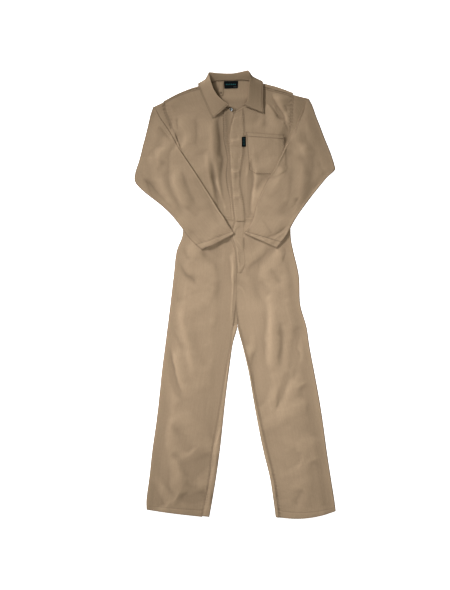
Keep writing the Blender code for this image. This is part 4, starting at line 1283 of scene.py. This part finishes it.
def stitchSeams(name, paths, pieces):
    trees = treesOf(pieces)
    seam = bmesh.new()
    count = 0
    for path in paths:
        line = smoothPath(path, 12) if len(path) > 2 else np.array(path, float)
        run = np.concatenate([[0], np.cumsum(np.linalg.norm(np.diff(line, axis=0), axis=1))])
        at = np.arange(stitchSize["pitch"] / 2, run[-1], stitchSize["pitch"])
        x, y = np.interp(at, run, line[:, 0]), np.interp(at, run, line[:, 1])
        top, facing = castDown(trees, x, y)
        for i in range(len(at)):
            if top[i] < 0.5:
                continue
            a, b = max(i - 1, 0), min(i + 1, len(at) - 1)
            along = Vector((x[b] - x[a], y[b] - y[a], 0))
            if along.length < 1e-6 or abs(top[b] - top[a]) > 4:
                continue
            up = Vector(facing[i])
            along = (along - along.dot(up) * up).normalized()
            turn = Matrix((along, up.cross(along), up)).transposed().to_4x4()
            place = Matrix.Translation(Vector((x[i], y[i], top[i] + stitchSize["lift"])) * mm) @ turn
            oneStitch.data.transform(place)
            seam.from_mesh(oneStitch.data)
            oneStitch.data.transform(place.inverted())
            count += 1
    deselectAll()
    bpy.ops.mesh.primitive_plane_add(size=mm)
    piece = bpy.context.object
    piece.name = piece.data.name = name
    seam.to_mesh(piece.data)
    seam.free()
    piece.data.materials.append(thread)
    bpy.ops.object.shade_smooth()
    finishPiece(piece, [])
    print(f"{name}: {count} stitches")


def sideLine(rows, columns, inset, low=0.0, high=1.0, steps=14):  # a line down a table's side, mm in from it
    t = np.linspace(low, high, steps)
    x, y = alongRows(rows, columns[0], t), alongRows(rows, columns[1], t)
    otherX, otherY = alongRows(rows, columns[2], t), alongRows(rows, columns[3], t)
    away = np.hypot(otherX - x, otherY - y)
    return list(zip(x + (otherX - x) * inset / away, y + (otherY - y) * inset / away))


def endLine(rows, inset):  # a line above a table's last row, mm in from it
    t = np.linspace(0.04, 0.96, 9)
    ax, ay, bx, by = (alongRows(rows, k, np.array(1.0)) for k in range(4))
    cx, cy, dx, dy = (alongRows(rows, k, np.array(0.99)) for k in range(4))
    x, y, px, py = mix(ax, bx, t), mix(ay, by, t), mix(cx, dx, t), mix(cy, dy, t)
    away = np.hypot(px - x, py - y)
    return list(zip(x + (px - x) * inset / away, y + (py - y) * inset / away))


placketRows, pocketRows, collarRows = bands["placket"], pocket["rows"], collar["rows"]
bodySeams = [
    sideLine(placketRows, (0, 1, 2, 3), 4), sideLine(placketRows, (2, 3, 0, 1), 4),
    [(-40, 289), (-8, 289), (20, 289), (66, 289)], [(-30, 279.5), (-8, 279.5), (20, 279.5), (62, 279.5)],
    sideLine(pocketRows, (0, 1, 2, 3), 3, 0, 0.88), sideLine(pocketRows, (2, 3, 0, 1), 3, 0, 0.88),
    [tuple(float(c) for c in pocketPoint(np.array(u), np.array(0.98))) for u in np.linspace(0.04, 0.96, 14)],
    [tuple(float(c) for c in pocketPoint(np.array(u), np.array(0.11))) for u in np.linspace(0.02, 0.98, 6)],
    [(x, float(shoulderSeamY(x)) - 6) for x in (-262, -236, -206, -168, -140)],
    [(x, float(shoulderSeamY(x)) - 6) for x in (112, 150, 188, 212)],
]  # fmt: skip
collarSeams = [
    sideLine(collarRows, (6, 7, 3, 4), 6, 0.01, 0.3), sideLine(collarRows, (6, 7, 3, 4), 6, 0.74, 0.99),
    [(-80, 664), (-60, 678), (-36, 696), (-28, 702)], [(103, 683), (84, 690), (60, 697), (40, 703)],
]  # fmt: skip
legSeams = [
    *[sideLine(leg["rows"], (4, 3, 0, 1), 5, 0.47, 0.99, 24) for leg in (legRight, legLeft)],
    *[endLine(leg["rows"], leg["hemDepth"]) for leg in (legRight, legLeft)],
    [(34, 262), (33, 222), (36, 175), (39, 130), (36, 104), (28, 90), (18, 84)],
]  # fmt: skip
bothSleeves = (sleeveRight, sleeveLeft)
sleeveSeams = [
    *[endLine(sleeve["rows"], sleeve["cuff"] - back) for back in (0, 6) for sleeve in bothSleeves],
    *[sideLine(sleeve["rows"], (2, 3, 0, 1), 5, 0.02, 0.98, 24) for sleeve in bothSleeves],
    *[sideLine(sleeve["rows"], (4, 5, 0, 1), 2, 0.01, 0.2) for sleeve in bothSleeves],
]  # fmt: skip
everySheet = [
    backPiece, rightPiece, leftPiece, underPiece, placketPiece, flyPiece, pocketPiece, *legPieces,
    rightSleevePiece, leftSleevePiece, collarPiece, tabPiece,
]  # fmt: skip
stitchSeams("bodyStitches", bodySeams, everySheet)
stitchSeams("collarStitches", collarSeams, [collarPiece])
stitchSeams("legStitches", legSeams, everySheet)
stitchSeams("sleeveStitches", sleeveSeams, [rightSleevePiece, leftSleevePiece])
bpy.data.objects.remove(oneStitch, do_unlink=True)

# floor, light and camera

studio = {
    "aim": (0.04, -0.1, 0.0), "keyFrom": (-5.2, 4.6, 4.2), "keyPower": 8100, "keySize": 1.1, "keyCone": 12,
    "overheadHeight": 1.0, "overheadPower": 5.3, "overheadSize": 0.8, "fill": 0.1,
}  # fmt: skip


def aimAt(light, place, target):
    light.location = place
    light.rotation_euler = (Vector(target) - Vector(place)).to_track_quat("-Z", "Y").to_euler()


def makeFloor():
    deselectAll()
    bpy.ops.mesh.primitive_plane_add(size=14)
    floor = bpy.context.object
    floor.name = floor.data.name = "paleFloor"
    material, tree, seen = newMaterial("paleFloor")
    seen.inputs["Base Color"].default_value = (0.9, 0.9, 0.9, 1)
    seen.inputs["Roughness"].default_value = 0.9
    seen.inputs["Emission Color"].default_value = (1, 1, 1, 1)
    seen.inputs["Emission Strength"].default_value = 0.95
    bounce = tree.nodes.new("ShaderNodeBsdfDiffuse")  # gives little light back, so rims stay dark
    bounce.inputs["Color"].default_value = (0.25, 0.25, 0.25, 1)
    rays, either = tree.nodes.new("ShaderNodeLightPath"), tree.nodes.new("ShaderNodeMixShader")
    tree.links.new(rays.outputs["Is Camera Ray"], either.inputs["Fac"])
    tree.links.new(bounce.outputs[0], either.inputs[1])
    tree.links.new(seen.outputs[0], either.inputs[2])
    tree.links.new(either.outputs[0], tree.nodes["Material Output"].inputs["Surface"])
    floor.data.materials.append(material)


def makeLights():
    deselectAll()
    bpy.ops.object.light_add(type="SPOT")
    key = bpy.context.object
    key.name = "softKey"
    key.data.energy, key.data.shadow_soft_size = studio["keyPower"], studio["keySize"]
    key.data.spot_size, key.data.spot_blend = math.radians(studio["keyCone"]), 1.0
    aimAt(key, studio["keyFrom"], studio["aim"])
    bpy.ops.object.light_add(type="AREA")
    overhead = bpy.context.object
    overhead.name = "overheadSoftbox"
    overhead.data.energy, overhead.data.size = studio["overheadPower"], studio["overheadSize"]
    x, y, _ = studio["aim"]
    aimAt(overhead, (x, y, studio["overheadHeight"]), studio["aim"])
    world = bpy.data.worlds.new("paleRoom")
    bpy.context.scene.world = world
    world.use_nodes = True
    world.node_tree.nodes["Background"].inputs["Color"].default_value = (0.98, 0.95, 0.74, 1)
    world.node_tree.nodes["Background"].inputs["Strength"].default_value = studio["fill"]


view = {"centre": (-0.037, -0.002), "height": 2.2125, "lens": 85, "sensor": 36}


def makeCamera():  # straight above, as far away as makes the picture as high as the view
    distance = view["height"] * view["lens"] / view["sensor"]
    bpy.ops.object.camera_add(location=(*view["centre"], distance), rotation=(0, 0, 0))
    camera = bpy.context.object
    camera.data.lens, camera.data.sensor_width = view["lens"], view["sensor"]
    camera.data.clip_end = 30
    bpy.context.scene.camera = camera


makeFloor()
makeLights()
makeCamera()
bpy.context.scene.view_settings.view_transform = "Standard"
bpy.context.scene.view_settings.look = "Medium High Contrast"
